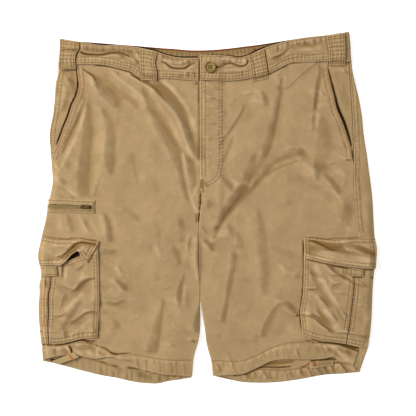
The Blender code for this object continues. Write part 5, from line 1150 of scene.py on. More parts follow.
BODY_FINE = fine_of(FRONT_SEAMS, 11)
POCKET_FINE = fine_of(POCKET_SEAMS, 12)
FLAP_FINE = fine_of(FLAP_SEAMS, 13)
BAND_FINE = fine_of(BAND_SEAMS, 14)
FACING_FINE = fine_of(FACING_SEAMS, 15)
BACK_FINE = fine_of(BACK_SEAMS, 16)
BACK_BAND_FINE = fine_of(BACK_BAND_SEAMS, 17)

BODY_LEAN = lean_of(LEFT_FACETS + RIGHT_FACETS)
BACK_LEAN = 1.5 * lean_of(BACK_FACETS)
POCKET_LEAN = 1.4 * lean_of(POCKET_FACETS)
FLAP_LEAN = 1.3 * lean_of(FLAP_FACETS)
BAND_LEAN = 1.5 * lean_of(BAND_FACETS)
FACING_LEAN = lean_of(FACING_FACETS)

COVER_LEFT, COVER_RIGHT = 181, 157  # how far from the middle the cargo pockets begin
COVER_TOP, COVER_FOOT = -58, -226
COVER_OVER, COVER_SIDE_OVER, COVER_BAND_OVER = 10, 8, 6


def covered():
    """1 where a pocket, flap or the waistband lies on the fronts, so that their own waves stay out of it."""
    side = np.abs(GRID_X)
    inner = np.where(GRID_X < 0, COVER_LEFT, COVER_RIGHT)
    pocket = (
        above(side, inner + 2, COVER_SIDE_OVER)
        * below(GRID_Y, COVER_TOP, COVER_OVER)
        * above(GRID_Y, COVER_FOOT, COVER_OVER)
    )
    foot = height_at(BAND_FOOT, GRID_X)
    return np.maximum(pocket, above(GRID_Y, foot - 1, COVER_BAND_OVER))


WAVES = np.random.default_rng(21)


def waved(lean, *waves):
    """The height of draped cloth, with washed-in waves of each size and height over it."""
    height = draped(lean)
    for size, high in waves:
        height = height + crumple(size, high, WAVES)
    return height


OPEN = 1 - covered()
BODY_LEAN *= OPEN
BODY_FINE *= OPEN
BODY_DEEP = waved(BODY_LEAN, (22, 0.7), (9, 0.3), (4, 0.13), (2, 0.03)) * OPEN
POCKET_DEEP = waved(POCKET_LEAN, (7, 0.25), (3, 0.1))
FLAP_DEEP = waved(FLAP_LEAN, (6, 0.2), (3, 0.08))
BAND_DEEP = flat_field()
for band_fold in BAND_FOLDS:
    fold(BAND_DEEP, band_fold)
BAND_DEEP += waved(BAND_LEAN, (6, 0.2), (3, 0.08))
BACK_FINE += waved(BACK_LEAN, (6, 0.2), (3, 0.06))
FACING_DEEP = waved(FACING_LEAN, (7, 0.25), (3, 0.1))

BACK_RELIEF, FACING_RELIEF = 1.2, 0.8  # how much of their relief the back hems and the facings show
PRESSED, PRESSED_OVER = 0.6, 5  # the left pocket's wall at its pressed inner edge
FLAP_SEAT = 0.3
FLAP_PRESSED, FLAP_PRESSED_OVER = 0.15, 14  # how much of its rise a flap keeps at its inner edge
FLOOR_SOFT = 0.7  # how gently a trough settles on the layer below


def settled(height):
    """Heights over the layer below, with troughs that would pass through it resting on it."""
    return 0.5 * (height + np.sqrt(height**2 + FLOOR_SOFT**2))


def wall_of(thick, fine):
    """A wall of that thickness, with the fine relief on it."""
    return lambda x, y: thick + at(fine, x, y)


def top_of(under, wall):
    """The upper face of a layer."""
    return lambda x, y: under(x, y) + wall(x, y)


def front_under(x, y):
    in_hem = below(y, HEM_FROM, HEM_OVER)
    at_slash = above(y, SLASH_FROM, SLASH_OVER)
    in_band = above(y, BAND_FROM, BAND_OVER)
    low = SIDE_LOW + (SLASH_LOW - SIDE_LOW) * at_slash + (HEM_LOW - SIDE_LOW) * in_hem
    high = BODY_HIGH + (BAND_HIGH - BODY_HIGH) * in_band + (HEM_HIGH - BODY_HIGH) * in_hem
    inside = np.minimum(x - side_at(LEFT_SIDE, y), side_at(RIGHT_SIDE, y) - x)
    rolled = ease(inside / SIDE_ROLL)
    return low + settled((high - low + at(BODY_DEEP, x, y)) * rolled)


def front_wall(x, y):
    turned = below(y, height_at(HEM_LINE, x) - HEM_TURN, HEM_TURN_OVER)
    return FRONT_WALL + HEM_EXTRA * turned + at(BODY_FINE, x, y)


front_top = top_of(front_under, front_wall)


def back_hem(x, y):
    start = BACK_HEM_FROM - BACK_HEM_DROP * (BACK_HEM_MIDDLE - np.abs(x))
    return below(y, start, BACK_HEM_OVER)


def back_wall(x, y):
    turned = back_hem(x, y)
    return BACK_WALL / 2 + settled(BACK_WALL / 2 + (HEM_EXTRA + BACK_RELIEF * at(BACK_FINE, x, y)) * turned)


def fly_lift(x, y):
    return FLY_LIFT * below(x, FLY_EDGE, FLY_OVER) * above(y, FLY_FOOT, FLY_FOOT_OVER)


def lapped_under(x, y):
    """The right front lies over the left one as far as the fly's stitching."""
    return front_under(x, y) + fly_lift(x, y)


lapped_top = top_of(lapped_under, front_wall)


def band_under(x, y):
    foot = height_at(BAND_FOOT, x)
    loose = above(y, foot - BAND_LOOSE_FROM, BAND_LOOSE_OVER)
    lap = fly_lift(x, y) * (x > FLY_LAP)
    return front_top(x, y) + GAP + lap + loose * settled(BAND_LIFT + at(BAND_DEEP, x, y))


band_wall = wall_of(BAND_WALL, BAND_FINE)
band_top = top_of(band_under, band_wall)


def pocket_under(x, y):
    side = np.abs(x)
    puff = (
        above(side, POCKET_INNER, POCKET_INNER_OVER)
        * below(side, POCKET_OUTER, POCKET_OUTER_OVER)
        * above(y, POCKET_FOOT, POCKET_FOOT_OVER)
    )
    over_hem = HEM_LIFT * below(y, POCKET_HEM_FROM, HEM_OVER)
    return front_top(x, y) + GAP + over_hem + settled((POCKET_LIFT + at(POCKET_DEEP, x, y)) * puff)


def pocket_wall(x, y):
    """The left pocket's wall thins towards its pressed inner edge."""
    inner = across_at(POCKET_EDGE_LEFT, y) - x
    pressed = np.where(x < 0, PRESSED + (1 - PRESSED) * ease(inner / PRESSED_OVER), 1.0)
    return (POCKET_WALL + at(POCKET_FINE, x, y)) * pressed


def flap_under(x, y):
    on_pocket = below(y, FLAP_FROM, FLAP_OVER)
    low = front_top(x, y) + GAP
    plain = low + (pocket_under(x, y) + POCKET_WALL + 2 * GAP + FLAP_SEAT - low) * on_pocket
    inside = np.where(x < 0, across_at(FLAP_CORNER_LEFT[:3], y) - x, x - FLAP_EDGE_RIGHT[0][0])
    kept = FLAP_PRESSED + (1 - FLAP_PRESSED) * ease(inside / FLAP_PRESSED_OVER)
    return plain + settled(FLAP_RISE + at(FLAP_DEEP, x, y)) * on_pocket * kept


flap_wall = wall_of(FLAP_WALL, FLAP_FINE)


def facing_under(x, y):
    return BACK_WALL + GAP + settled(at(FACING_DEEP, x, y)) * FACING_RELIEF


facing_wall = wall_of(FACING_WALL, FACING_FINE)


# ---- Mesh ----

Panel = namedtuple("Panel", "top left right bottom")
TURN = (0.4, 1.1)  # a cut edge is rounded over this much
EDGE_HEIGHTS = [0.45, 0.85]  # the share of the wall that stands at a cut edge, and one cell further in
WORN_RINGS = 3  # how many cells in from a cut edge are rubbed
SHARP_ANGLE = 60


def stations(length, spacing):
    """Shares along an edge of that length, evenly spaced but for two narrow cells at each end."""
    near, far = TURN[0] / length, TURN[1] / length
    inner = np.linspace(far, 1 - far, max(2, round(length / spacing)) + 1)
    return np.concatenate([[0, near], inner, [1 - near, 1]])


def fitted(panel, u, v):
    """The panel's points, as x and y arrays of one row for each station down it."""
    top, bottom = smooth_line(panel.top, u), smooth_line(panel.bottom, u)
    left = smooth_line([panel.top[0], *panel.left, panel.bottom[0]], v)
    right = smooth_line([panel.top[-1], *panel.right, panel.bottom[-1]], v)
    u, v = u[None, :, None], v[:, None, None]
    corners = (
        (1 - u) * (1 - v) * top[0] + u * (1 - v) * top[-1] + (1 - u) * v * bottom[0] + u * v * bottom[-1]
    )
    points = (1 - v) * top[None] + v * bottom[None] + (1 - u) * left[:, None] + u * right[:, None] - corners
    return points[..., 0], points[..., 1]


WORN_OVER, WORN_HEIGHT = 2.2, 0.32
# painted shade: cloth that lies deeper than its surroundings over this much is darkened
HOLLOW_OVER, HOLLOW_HEIGHT = 8.0, 2.2
EDGE_WORN = 0.6
# a facet that leans towards the light is painted paler, as painted highlight, and one that leans away is
# painted darker, as painted shade, by these shares of its lean
LEAN_HIGHLIGHT, LEAN_SHADED = 0.7, 1.6


def marks_of(height, lean=None, gaps=(), seams=(), rust=None):
    """Fields of how worn and lit each point is, from how far it stands out (wear) and how far it leans
    towards the light (painted highlight); of how much painted shade it takes, from how deep it lies and how
    far it leans away; of how much painted shade its gaps and stitch dents take; and of how orange it is."""
    lean = flat_field() if lean is None else lean
    worn_and_lit = (height - blurred(height, WORN_OVER)) / WORN_HEIGHT + LEAN_HIGHLIGHT * np.maximum(lean, 0)
    hollow_shade = (blurred(height, HOLLOW_OVER) - height) / HOLLOW_HEIGHT + LEAN_SHADED * np.maximum(-lean, 0)
    return {
        "worn_and_lit": np.clip(worn_and_lit, 0, 1), "hollow_shade": np.clip(hollow_shade, 0, 1),
        "gap_and_dent_shade": np.maximum(dark_of(gaps), dents_of(seams)),
        "rust": flat_field() if rust is None else rust,
    }


def make_object(name, mesh, finish):
    data = bpy.data.meshes.new(name)
    mesh.to_mesh(data)
    mesh.free()
    data.shade_smooth()
    data.set_sharp_from_angle(angle=math.radians(SHARP_ANGLE))
    obj = bpy.data.objects.new(name, data)
    bpy.context.scene.collection.objects.link(obj)
    obj.data.materials.append(finish)
    return obj


def set_marks(mesh, marks):
    """Writes arrays of one value for each vertex to float attributes."""
    for name, values in marks.items():
        layer = mesh.verts.layers.float.new(name)
        for vert, value in zip(mesh.verts, values):
            vert[layer] = value


def grid_order(array):
    """An array of rows from the top, in the order of create_grid's vertices."""
    return array[::-1].ravel()


def lay_cloth(name, panel, under, wall, finish, spacing, marks, is_open=None):
    """A cloth piece fitted to its panel, with its underside on under and its cut edges rounded."""
    u = stations((line_length(panel.top) + line_length(panel.bottom)) / 2, spacing[0])
    ends = [panel.top[0], *panel.left, panel.bottom[0]], [panel.top[-1], *panel.right, panel.bottom[-1]]
    v = stations(sum(map(line_length, ends)) / 2, spacing[1])
    x, y = fitted(panel, u, v)
    low = under(x, y)
    thick = wall(x, y) if callable(wall) else np.full(x.shape, float(wall))
    down, across = (np.minimum(np.arange(count), np.arange(count)[::-1]) for count in x.shape)
    ring = np.minimum.outer(down, across)
    turned = np.select([ring == 0, ring == 1], EDGE_HEIGHTS, 1.0)
    values = {mark: at(field, x, y) for mark, field in marks.items()}
    values["worn_and_lit"] = np.where(ring < WORN_RINGS, np.maximum(values["worn_and_lit"], EDGE_WORN), values["worn_and_lit"])
    values["top"] = low + thick * turned
    mesh = bmesh.new()
    bmesh.ops.create_grid(mesh, x_segments=len(u) - 1, y_segments=len(v) - 1, size=0.5)
    for vert, *place in zip(mesh.verts, grid_order(x), grid_order(y), grid_order(low)):
        vert.co = Vector(place) * MM
    set_marks(mesh, {mark: grid_order(value) for mark, value in values.items()})
    if is_open:
        gone = [f for f in mesh.faces if is_open(*(f.calc_center_median() / MM)[:2])]
        bmesh.ops.delete(mesh, geom=gone, context="FACES")
    raised = bmesh.ops.extrude_face_region(mesh, geom=mesh.faces[:], use_keep_orig=True)["geom"]
    top = mesh.verts.layers.float["top"]
    for vert in raised:
        if isinstance(vert, bmesh.types.BMVert):
            vert.co.z = vert[top] * MM
    bmesh.ops.recalc_face_normals(mesh, faces=mesh.faces[:])
    return make_object(name, mesh, finish)


def declare(obj, *nodes, slot="twill", panel=None, rests_on=(), body="shorts"):
    """Ties a piece to its body and hides the nodes that it stands for; slot, panel and rests_on are not used.
    """
    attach(obj, body)
    if nodes:
        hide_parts(*nodes)


# ---- Finishes ----


def srgb(code):
    """A colour written as sRGB hex, in linear values."""
    parts = [int(code[k : k + 2], 16) / 255 for k in (1, 3, 5)]
    return (*(p / 12.92 if p <= 0.04045 else ((p + 0.055) / 1.055) ** 2.4 for p in parts), 1.0)


def add(tree, kind, values=None, links=None, **settings):
    """Adds a node, with its settings, its sockets' values and the outputs linked into its sockets."""
    made = tree.nodes.new(kind)
    for name, value in settings.items():
        setattr(made, name, value)
    for socket, value in (values or {}).items():
        made.inputs[socket].default_value = value
    for socket, source in (links or {}).items():
        tree.links.new(source, made.inputs[socket])
    return made


def shader_of(name, **sockets):
    """A new material with the given values on its shader's sockets."""
    made = bpy.data.materials.new(name)
    made.use_nodes = True
    shader = made.node_tree.nodes["Principled BSDF"]
    for socket, value in sockets.items():
        shader.inputs[socket.replace("_", " ")].default_value = value
    return made, made.node_tree, shader


def noise(tree, place, **values):
    """A cloudy pattern between 0 and 1."""
    return add(tree, "ShaderNodeTexNoise", values, {"Vector": place}).outputs["Fac"]


def summed(tree, pattern, share, other):
    """That share of one pattern, added to the other."""
    return add(
        tree, "ShaderNodeMath", {1: share}, {0: pattern, 2: other}, operation="MULTIPLY_ADD"
    ).outputs[0]


def two_tones(tree, pattern, tones, low, high):
    """A colour that goes from one tone to the other as the pattern goes from low to high."""
    ramp = add(tree, "ShaderNodeValToRGB", None, {"Fac": pattern})
    for k, position in enumerate((low, high)):
        element = ramp.color_ramp.elements[k]
        element.position, element.color = position, srgb(tones[k])
    return ramp.outputs["Color"]


def roughen(tree, shader, height, strength, distance):
    """Fine relief on the surface, too small for the mesh."""
    bump = add(tree, "ShaderNodeBump", {"Strength": strength, "Distance": distance}, {"Height": height})
    tree.links.new(bump.outputs[0], shader.inputs["Normal"])


# painted shade in the gaps, brown at its rim and almost black in its core, and the welts' orange tinge
GAP_SHADE_EDGE, GAP_SHADE_CORE, RUST = "#7a561c", "#1e1003", "#b4774a"


def twill(name, body, worn_and_lit, shaded):
    """Washed cotton twill: matt, with fine diagonal wales, paler where it rubs and where it leans to the
    light (painted highlight), and darker in its hollows, gaps and stitch dents (painted shade).
    """
    made, tree, shader = shader_of(
        name, Roughness=0.88, Sheen_Weight=0.12, Sheen_Roughness=0.5, Specular_IOR_Level=0.25
    )
    place = add(tree, "ShaderNodeTexCoord").outputs["Object"]
    cloud = noise(tree, place, Scale=28.0, Detail=4.0, Roughness=0.6)
    fleck = noise(tree, place, Scale=420.0, Detail=3.0, Roughness=0.7)
    mottled = add(tree, "ShaderNodeMath", {1: 0.6, 2: -0.02}, {0: fleck}, operation="MULTIPLY_ADD")
    colour = two_tones(tree, summed(tree, cloud, 0.55, mottled.outputs[0]), body, 0.3, 0.75)
    # painted shade in the hollows; paler wear on ridges and edges, with painted highlight where the cloth
    # leans to the light; the welts' orange tinge; and painted shade in the gaps and stitch dents
    for mark, tone, low, high, most in (
        ("hollow_shade", shaded, 0.1, 1.0, 0.75), ("worn_and_lit", worn_and_lit, 0.1, 1.0, 0.75), ("rust", RUST, 0.0, 1.0, 1.0),
        ("gap_and_dent_shade", GAP_SHADE_EDGE, 0.0, 0.5, 1.0), ("gap_and_dent_shade", GAP_SHADE_CORE, 0.35, 1.0, 1.0),
    ):
        given = add(tree, "ShaderNodeAttribute", attribute_name=mark)
        share = add(
            tree, "ShaderNodeMapRange", {"From Min": low, "From Max": high, "To Max": most},
            {"Value": given.outputs["Fac"]}, clamp=True,
        )
        blend = add(
            tree, "ShaderNodeMix", {7: srgb(tone)}, {"Factor": share.outputs[0], 6: colour}, data_type="RGBA"
        )
        colour = blend.outputs[2]
    tree.links.new(colour, shader.inputs["Base Color"])
    # The wales are 0.5 mm apart in the real cloth, and are drawn 1 mm apart so that they show at all.
    wales = add(
        tree, "ShaderNodeTexWave", {"Scale": 444.0, "Distortion": 0.6, "Detail": 1.0}, {"Vector": place},
        wave_type="BANDS", bands_direction="DIAGONAL",
    )
    roughen(tree, shader, summed(tree, fleck, 0.7, wales.outputs["Fac"]), 0.35, 0.00012)
    return made


# Body khaki, with a paler tone for worn ridges and edges and for painted highlight, and an olive-brown one
# for painted shade in the creases
TWILL = twill("washed_cotton_twill", ("#a1855a", "#bd9d71"), "#ccb087", "#886635")
# The same cloth's wrong side, a shade duller
TWILL_INSIDE = twill("twill_wrong_side", ("#9c8156", "#b89a6e"), "#b69d74", "#7a6238")
# The zip's cloth, a flat olive
ZIP_CLOTH = twill("polyester_zip_tape", ("#8a7646", "#a18d5a"), "#b09c6a", "#6a5832")
# The woven tape, smoother and a little yellower than the twill
TAPE_TWILL = twill("woven_cotton_tape", ("#a68c5c", "#c0a474"), "#b69d74", "#7a6238")


def plain_thread(name, low, high, scale=900.0):
    """Spun sewing thread: matt, with lighter and darker fibres."""
    made, tree, shader = shader_of(name, Roughness=0.7, Sheen_Weight=0.1, Specular_IOR_Level=0.3)
    place = add(tree, "ShaderNodeTexCoord").outputs["Object"]
    fibre = noise(tree, place, Scale=scale, Detail=2.0)
    tree.links.new(two_tones(tree, fibre, (low, high), 0.3, 0.7), shader.inputs["Base Color"])
    roughen(tree, shader, fibre, 0.4, 0.0001)
    return made


# Stitches show as small ribs, a shade darker than the cloth
THREAD = plain_thread("spun_thread", "#7e6234", "#a0804c")
# Painted shade: the button's four holes are dark discs that stand for their depth, with dark thread in them
HOLE_SHADE = plain_thread("painted_shade_and_thread_in_the_holes", "#1c140a", "#33260f")
# The two bar tacks are small bright bars, one orange and one red
ORANGE_THREAD = plain_thread("orange_bar_tack_thread", "#d05204", "#f47a14")
RED_THREAD = plain_thread("red_bar_tack_thread", "#a8340a", "#cc5418")
# The binding is brick red and fluffy; its two ends, lying in the shade of the front waistband's edge, are
# painted almost black-brown as painted shade
BINDING = plain_thread("red_brown_cotton_binding", "#8a300e", "#b04c1e", 500.0)
SHADED_BINDING = plain_thread("binding_in_painted_shade", "#54200e", "#74341c", 500.0)
# The coil's nylon is paler than the tape that it is sewn to
COIL = plain_thread("zip_coil_nylon", "#8c7c4c", "#ae9c6a", 700.0)


def worn_metal(name, tones, roughness):
    """Antique brass: stamped and plated, with the finish paler and darker in small random clouds."""
    made, tree, shader = shader_of(name, Metallic=1.0, Roughness=roughness)
    place = add(tree, "ShaderNodeTexCoord").outputs["Object"]
    cloud = noise(tree, place, Scale=350.0, Detail=5.0)
    tree.links.new(two_tones(tree, cloud, tones, 0.35, 0.7), shader.inputs["Base Color"])
    return made


# Dull yellow-brown metal with soft, broken glints
BRASS = worn_metal("antique_brass", ("#5c4a2c", "#a08a5c"), 0.42)


def resin():
    """Moulded resin: satin, with faint swirls like horn."""
    made, tree, shader = shader_of("moulded_resin", Roughness=0.38, IOR=1.5, Coat_Weight=0.1)
    place = add(tree, "ShaderNodeTexCoord").outputs["Object"]
    swirl = noise(tree, place, Scale=90.0, Detail=3.0, Distortion=1.5)
    tree.links.new(two_tones(tree, swirl, ("#80682f", "#a3884a"), 0.35, 0.65), shader.inputs["Base Color"])
    return made


# Olive-amber, with a soft round highlight on the rim
RESIN = resin()

# ---- Cloth pieces ----

FINE, MEDIUM, CLOSE = (1.75, 1.75), (1.25, 1.25), (0.9, 0.9)  # cells across and down
BACK_CELLS, WRAP_CELLS, BACK_BAND_CELLS, WELT_CELLS = (1.9, 2.6), (1.8, 1.9), (1.3, 1.1), (1.2, 0.6)
WELT_TINGE = 0.18
TINGE_WIDE, TINGE_OVER = 12, 4  # it reaches so far in from the pocket's edge, and fades over so much
TINGE_FOOT, TINGE_FOOT_OVER = 84, 10
TINGE_TOP, TINGE_TOP_OVER = 232, 14


def add_cloth(
    node, panel, under, wall, spacing, marks, rests_on=(), finish=TWILL, slot="twill", is_open=None
):
    """The cloth that stands for a node, fitted to its panel."""
    cloth = lay_cloth(f"{node}_cloth", panel, under, wall, finish, spacing, marks, is_open)
    declare(cloth, node, slot=slot, panel=panel, rests_on=rests_on)


def welt_rust():
    """The worn pocket welts show an orange tinge along their stitching."""
    near = flat_field()
    for way, line in ((1, SLASH_LEFT), (-1, SLASH_RIGHT)):
        inward = way * (GRID_X - across_at(line, GRID_Y))
        near = np.maximum(near, above(inward, -2, 2) * below(inward, TINGE_WIDE, TINGE_OVER))
    shown = above(GRID_Y, TINGE_FOOT, TINGE_FOOT_OVER) * below(GRID_Y, TINGE_TOP, TINGE_TOP_OVER)
    return WELT_TINGE * near * shown


PLAIN = marks_of(flat_field())
BODY_MARKS = marks_of(BODY_DEEP + BODY_FINE, BODY_LEAN, BODY_GAPS, FRONT_SEAMS, welt_rust())
BACK_MARKS = marks_of(BACK_FINE, BACK_LEAN, BACK_GAPS, BACK_SEAMS)
BAND_MARKS = marks_of(BAND_DEEP + BAND_FINE, BAND_LEAN, BAND_GAPS, BAND_SEAMS)
BACK_BAND_MARKS = marks_of(BACK_BAND_FINE, None, BACK_BAND_GAPS, BACK_BAND_SEAMS)
POCKET_MARKS = marks_of(POCKET_DEEP + POCKET_FINE, POCKET_LEAN, POCKET_GAPS, POCKET_SEAMS)
FLAP_MARKS = marks_of(FLAP_DEEP + FLAP_FINE, FLAP_LEAN, FLAP_GAPS, FLAP_SEAMS)
FACING_MARKS = marks_of(FACING_DEEP + FACING_FINE, FACING_LEAN, FACING_GAPS, FACING_SEAMS)

FRONT_LEFT = Panel(
    [
        (-214.5, 243), (-168, 240), (-144, 235), (-125, 229), (-110, 221), (-78, 219.5),
        (-40, 217), (-4, 216),
    ],
    [*SLASH_LEFT, *side_points(LEFT_SIDE, 75, -245, 0.5)],
    [(-4, 150), (-4, 80), (-6, 40), (-9.5, 14), *INSEAM_LEFT],
    HEM_EDGE_LEFT,
)
FRONT_RIGHT = Panel(
    [
        (-12.5, 216), (43, 216), (70, 219.5), (103, 228), (124, 238), (136, 244.5), (169, 246),
        (200, 246),
    ],
    [(-12.5, 150), (-12.5, 77), (-12, 50), (-11, 30), (-11, 8), *INSEAM_RIGHT],
    [*SLASH_RIGHT, *side_points(RIGHT_SEAM, 75, -250, -0.2)],
    HEM_EDGE_RIGHT,
)


def fronts():
    add_cloth("front_left", FRONT_LEFT, front_under, front_wall, FINE, BODY_MARKS, ["back_left_cloth"])
    add_cloth("front_right", FRONT_RIGHT, lapped_under, front_wall, FINE, BODY_MARKS, ["back_right_cloth"])


ROLL_CELLS = 7
SLANT_POWER = 8  # the returned strip only slants at its foot
RETURN_RISE = 3  # its relief is full from the first third of its width on


def lay_wrapped(name, panel, seam, wall, wall_lift, spacing, marks, finish, fine, strip_cells=9, slant=1):
    """A back piece whose right side rolls round the fold and returns over the front to its seam."""
    u = np.linspace(0, 1, max(2, round(line_length(panel.top) / spacing[0])) + 1)
    right = [panel.top[-1], *panel.right, panel.bottom[-1]]
    v = np.linspace(0, 1, max(2, round(line_length(right) / spacing[1])) + 1)
    x, y = fitted(panel, u, v)
    down = len(v) - 1
    middle = wall / 2
    height = middle + settled(fine(x, y))
    fold_x, fold_y = x[:, -1:], y[:, -1:]
    seam_x = side_at(seam, fold_y)
    top = front_under(fold_x, fold_y) + middle + wall_lift
    radius = (top - middle) / 2
    turn = math.pi * np.arange(1, ROLL_CELLS + 1)[None, :] / ROLL_CELLS
    roll_x, roll_z = fold_x + radius * np.sin(turn), middle + radius * (1 - np.cos(turn))
    share = np.arange(1, strip_cells + 1)[None, :] / strip_cells
    strip_x = fold_x + (seam_x - fold_x) * share
    strip_y = fold_y + slant * (fold_x - strip_x) * (np.linspace(0, 1, down + 1)[:, None] ** SLANT_POWER)
    strip_z = front_under(strip_x, strip_y) + middle + wall_lift
    strip_z = strip_z + at(BACK_FINE, strip_x, strip_y) * ease(share * RETURN_RISE)
    xs = np.hstack([x, roll_x, strip_x])
    ys = np.hstack([y, fold_y + 0 * roll_x, strip_y])
    zs = np.hstack([height, roll_z, strip_z])
    mesh = bmesh.new()
    bmesh.ops.create_grid(mesh, x_segments=xs.shape[1] - 1, y_segments=down, size=0.5)
    for vert, *place in zip(mesh.verts, grid_order(xs), grid_order(ys), grid_order(zs)):
        vert.co = Vector(place) * MM
    set_marks(mesh, {mark: grid_order(at(field, xs, ys)) for mark, field in marks.items()})
    bmesh.ops.recalc_face_normals(mesh, faces=mesh.faces[:])
    obj = make_object(name, mesh, finish)
    shell = obj.modifiers.new("wall", "SOLIDIFY")
    shell.thickness, shell.offset = wall * MM, 0
    return obj


def roll_inset(wall, wall_lift):
    """How far in from the side the fold line of a wrapped piece lies, for each row of the side's table."""
    points = []
    for y, x in RIGHT_SIDE:
        top = front_under(np.array(float(x)), np.array(float(y))) + wall_lift
        points.append((y, x - float(top) / 2 - wall / 2))
    return points


def backs():
    left_top = [p for p in shifted(BAND_BACK_FOOT, dy=-GAP) if p[0] < -30] + [(-0.5, 218.5)]
    left = Panel(
        left_top,
        side_points(LEFT_SIDE, 228, -250),
        [(-0.5, 120), (-3, 40), CROTCH, *shifted(INSEAM_LEFT, dx=0.3)],
        BACK_EDGE_LEFT,
    )
    add_cloth(
        "back_left", left, lambda x, y: 0 * x, back_wall, BACK_CELLS, BACK_MARKS,
        finish=TWILL_INSIDE, slot="twill_inside",
    )
    fold_line = roll_inset(BACK_WALL, 0.0)
    right_top = [(0, 218.5)] + [p for p in shifted(BAND_BACK_FOOT, dy=-GAP) if 30 < p[0] < 200]
    right_top.append((float(side_at(fold_line, 240.8)), 240.8))
    right = Panel(
        right_top,
        [(0, 120), (-2.3, 40), (CROTCH[0] + 1, CROTCH[1]), *shifted(INSEAM_RIGHT, dx=0.3)],
        side_points(fold_line, 235, -268),
        [*BACK_EDGE_RIGHT, (float(side_at(fold_line, -271)), -271.5)],
    )

    def hem(x, y):
        return 0.5 * HEM_EXTRA * back_hem(x, y) + at(BACK_FINE, x, y) * back_hem(x, y)

    cloth = lay_wrapped(
        "back_right_cloth", right, RIGHT_SEAM, BACK_WALL, 0.0, WRAP_CELLS, BACK_MARKS, TWILL, hem
    )
    declare(cloth, "back_right", slot="twill_inside", panel=right)


def facings():
    left = Panel(
        [(-246, 234), (-206, 231.5)],
        [*side_points(LEFT_SIDE, 232, 95, 0.3)],
        [(-206, 215), (-205, 198), (-208, 180), (-216, 160), (-226, 140), (-236, 118)],
        [(-259.5, 92), (-247, 92)],
    )
    right = Panel(
        [(192, 238.5), (233.5, 242.5)],
        [(193, 225), (197, 203), (202, 184), (206, 166), (216, 141), (225, 115)],
        side_points(RIGHT_SEAM, 235, 100, -0.3),
        [(230, 94), (240.5, 94)],
    )
    for side, panel in (("left", left), ("right", right)):
        add_cloth(
            f"pocket_facing_{side}", panel, facing_under, facing_wall, MEDIUM, FACING_MARKS,
            [f"back_{side}_cloth"],
        )


BAND_DIP = 0.3  # no trough of the back waistband is deeper than this


def waistband():
    left = Panel(BAND_TOP_LEFT, [(-244.5, 255)], [(-14.5, 228)], BAND_FOOT_LEFT)
    right = Panel(BAND_TOP_RIGHT, [(-12.5, 230)], [(227.5, 265)], BAND_FOOT_RIGHT)
    for side, panel in (("left", left), ("right", right)):
        add_cloth(
            f"waistband_{side}", panel, band_under, band_wall, MEDIUM, BAND_MARKS, [f"front_{side}_cloth"]
        )
    lift = FRONT_WALL + GAP + BAND_LIFT / 2 - (BAND_WALL - BACK_WALL) / 2
    fold_line = roll_inset(BAND_WALL, lift)
    back = Panel(
        [*BAND_TOP_BACK, (float(side_at(fold_line, 289)), 290)],
        [(-245, 250)],
        side_points(fold_line, 280, 245),
        [*BAND_BACK_FOOT[:-1], (float(side_at(fold_line, 241)), 241)],
    )
    cloth = lay_wrapped(
        "waistband_back_cloth", back, BAND_END, BAND_WALL, lift, BACK_BAND_CELLS, BACK_BAND_MARKS,
        TWILL_INSIDE, lambda x, y: np.maximum(at(BACK_BAND_FINE, x, y), -BAND_DIP) + BAND_DIP,
        strip_cells=4, slant=0,
    )
    declare(cloth, "waistband_back", slot="twill_inside", panel=back)


LOOP_OVER = 9  # a loop comes down on the waistband over this much at each end
LOOP_FOOT_DROP, LOOP_FOOT_OVER = 2.5, 3


def loop_under(x, y):
    """A loop lies on the waistband, and its foot on the front below."""
    foot = height_at(BAND_FOOT, x)
    low = lapped_top(x, y)
    top = height_at(BAND_TOP_LEFT + BAND_TOP_RIGHT, x)
    rise = LOOP_LIFT * above(y, foot, LOOP_OVER) * below(y, top, LOOP_OVER)
    return low + GAP + (band_top(x, y) - low) * above(y, foot - LOOP_FOOT_DROP, LOOP_FOOT_OVER) + rise


def belt_loops():
    for number, (left, right) in enumerate(LOOP_EDGES, 1):
        panel = Panel([left[0], right[0]], left[1:-1], right[1:-1], [left[-1], right[-1]])
        band = "waistband_left_cloth" if number < 3 else "waistband_right_cloth"
        add_cloth(f"belt_loop_{number}", panel, loop_under, loop_wall, CLOSE, LOOP_MARKS, [band])


def loop_seams():
    seams = []
    for left, right in LOOP_EDGES:
        seams.append(Seam(left, (2.5, 6.5), (0, 11), 0.3, 4.2, 0.2))
        seams.append(Seam(right, (-2.5, -6.5), (-11, 0), 0.3, 4.6, -0.2))
        for share in (0.06, 0.14, 0.27, 0.4, 0.53, 0.66, 0.78, 0.86, 0.94):
            ends = [smooth_line(edge, [share])[0] for edge in (left, right)]
            seams.append(Seam(ends, (0,), (-2.5, 2.5), 0.2, 5, 0))
    return seams


# painted shade in the belt loops' creases and at their feet
LOOP_GAPS = [
    Gap([(-243, 260.5, 0.8), (-228, 260, 1), (-212, 259.5, 1.2)], 0.7, 1.2),
    Gap([(-244, 230.5, 0.8), (-236, 229, 0.6), (-226, 229, 0.4)], 0.5, 1),
    Gap([(-104, 249, 0.5), (-92, 243, 0.5)], 0.4, 1.2),
    Gap([(-110, 222, 3), (-97, 216, 3.5), (-84, 216, 3)], 0.25, 3),
    Gap([(74, 249, 0.7), (84, 252, 0.6), (93, 257, 0.5)], 0.35, 1),
    Gap([(75, 213, 0.7), (87, 215, 0.8), (99, 218, 0.7)], 0.45, 1),
    Gap([(199, 265, 0.7), (213, 266, 0.9), (226, 265, 0.7)], 0.4, 1),
    Gap([(201, 246, 0.8), (213, 242, 0.9), (227, 242, 0.7)], 0.4, 1),
]
LOOP_SEAMS = loop_seams()
LOOP_FINE = fine_of(LOOP_SEAMS, 18)
loop_wall = wall_of(LOOP_WALL, LOOP_FINE)
LOOP_MARKS = marks_of(LOOP_FINE, None, LOOP_GAPS, LOOP_SEAMS)

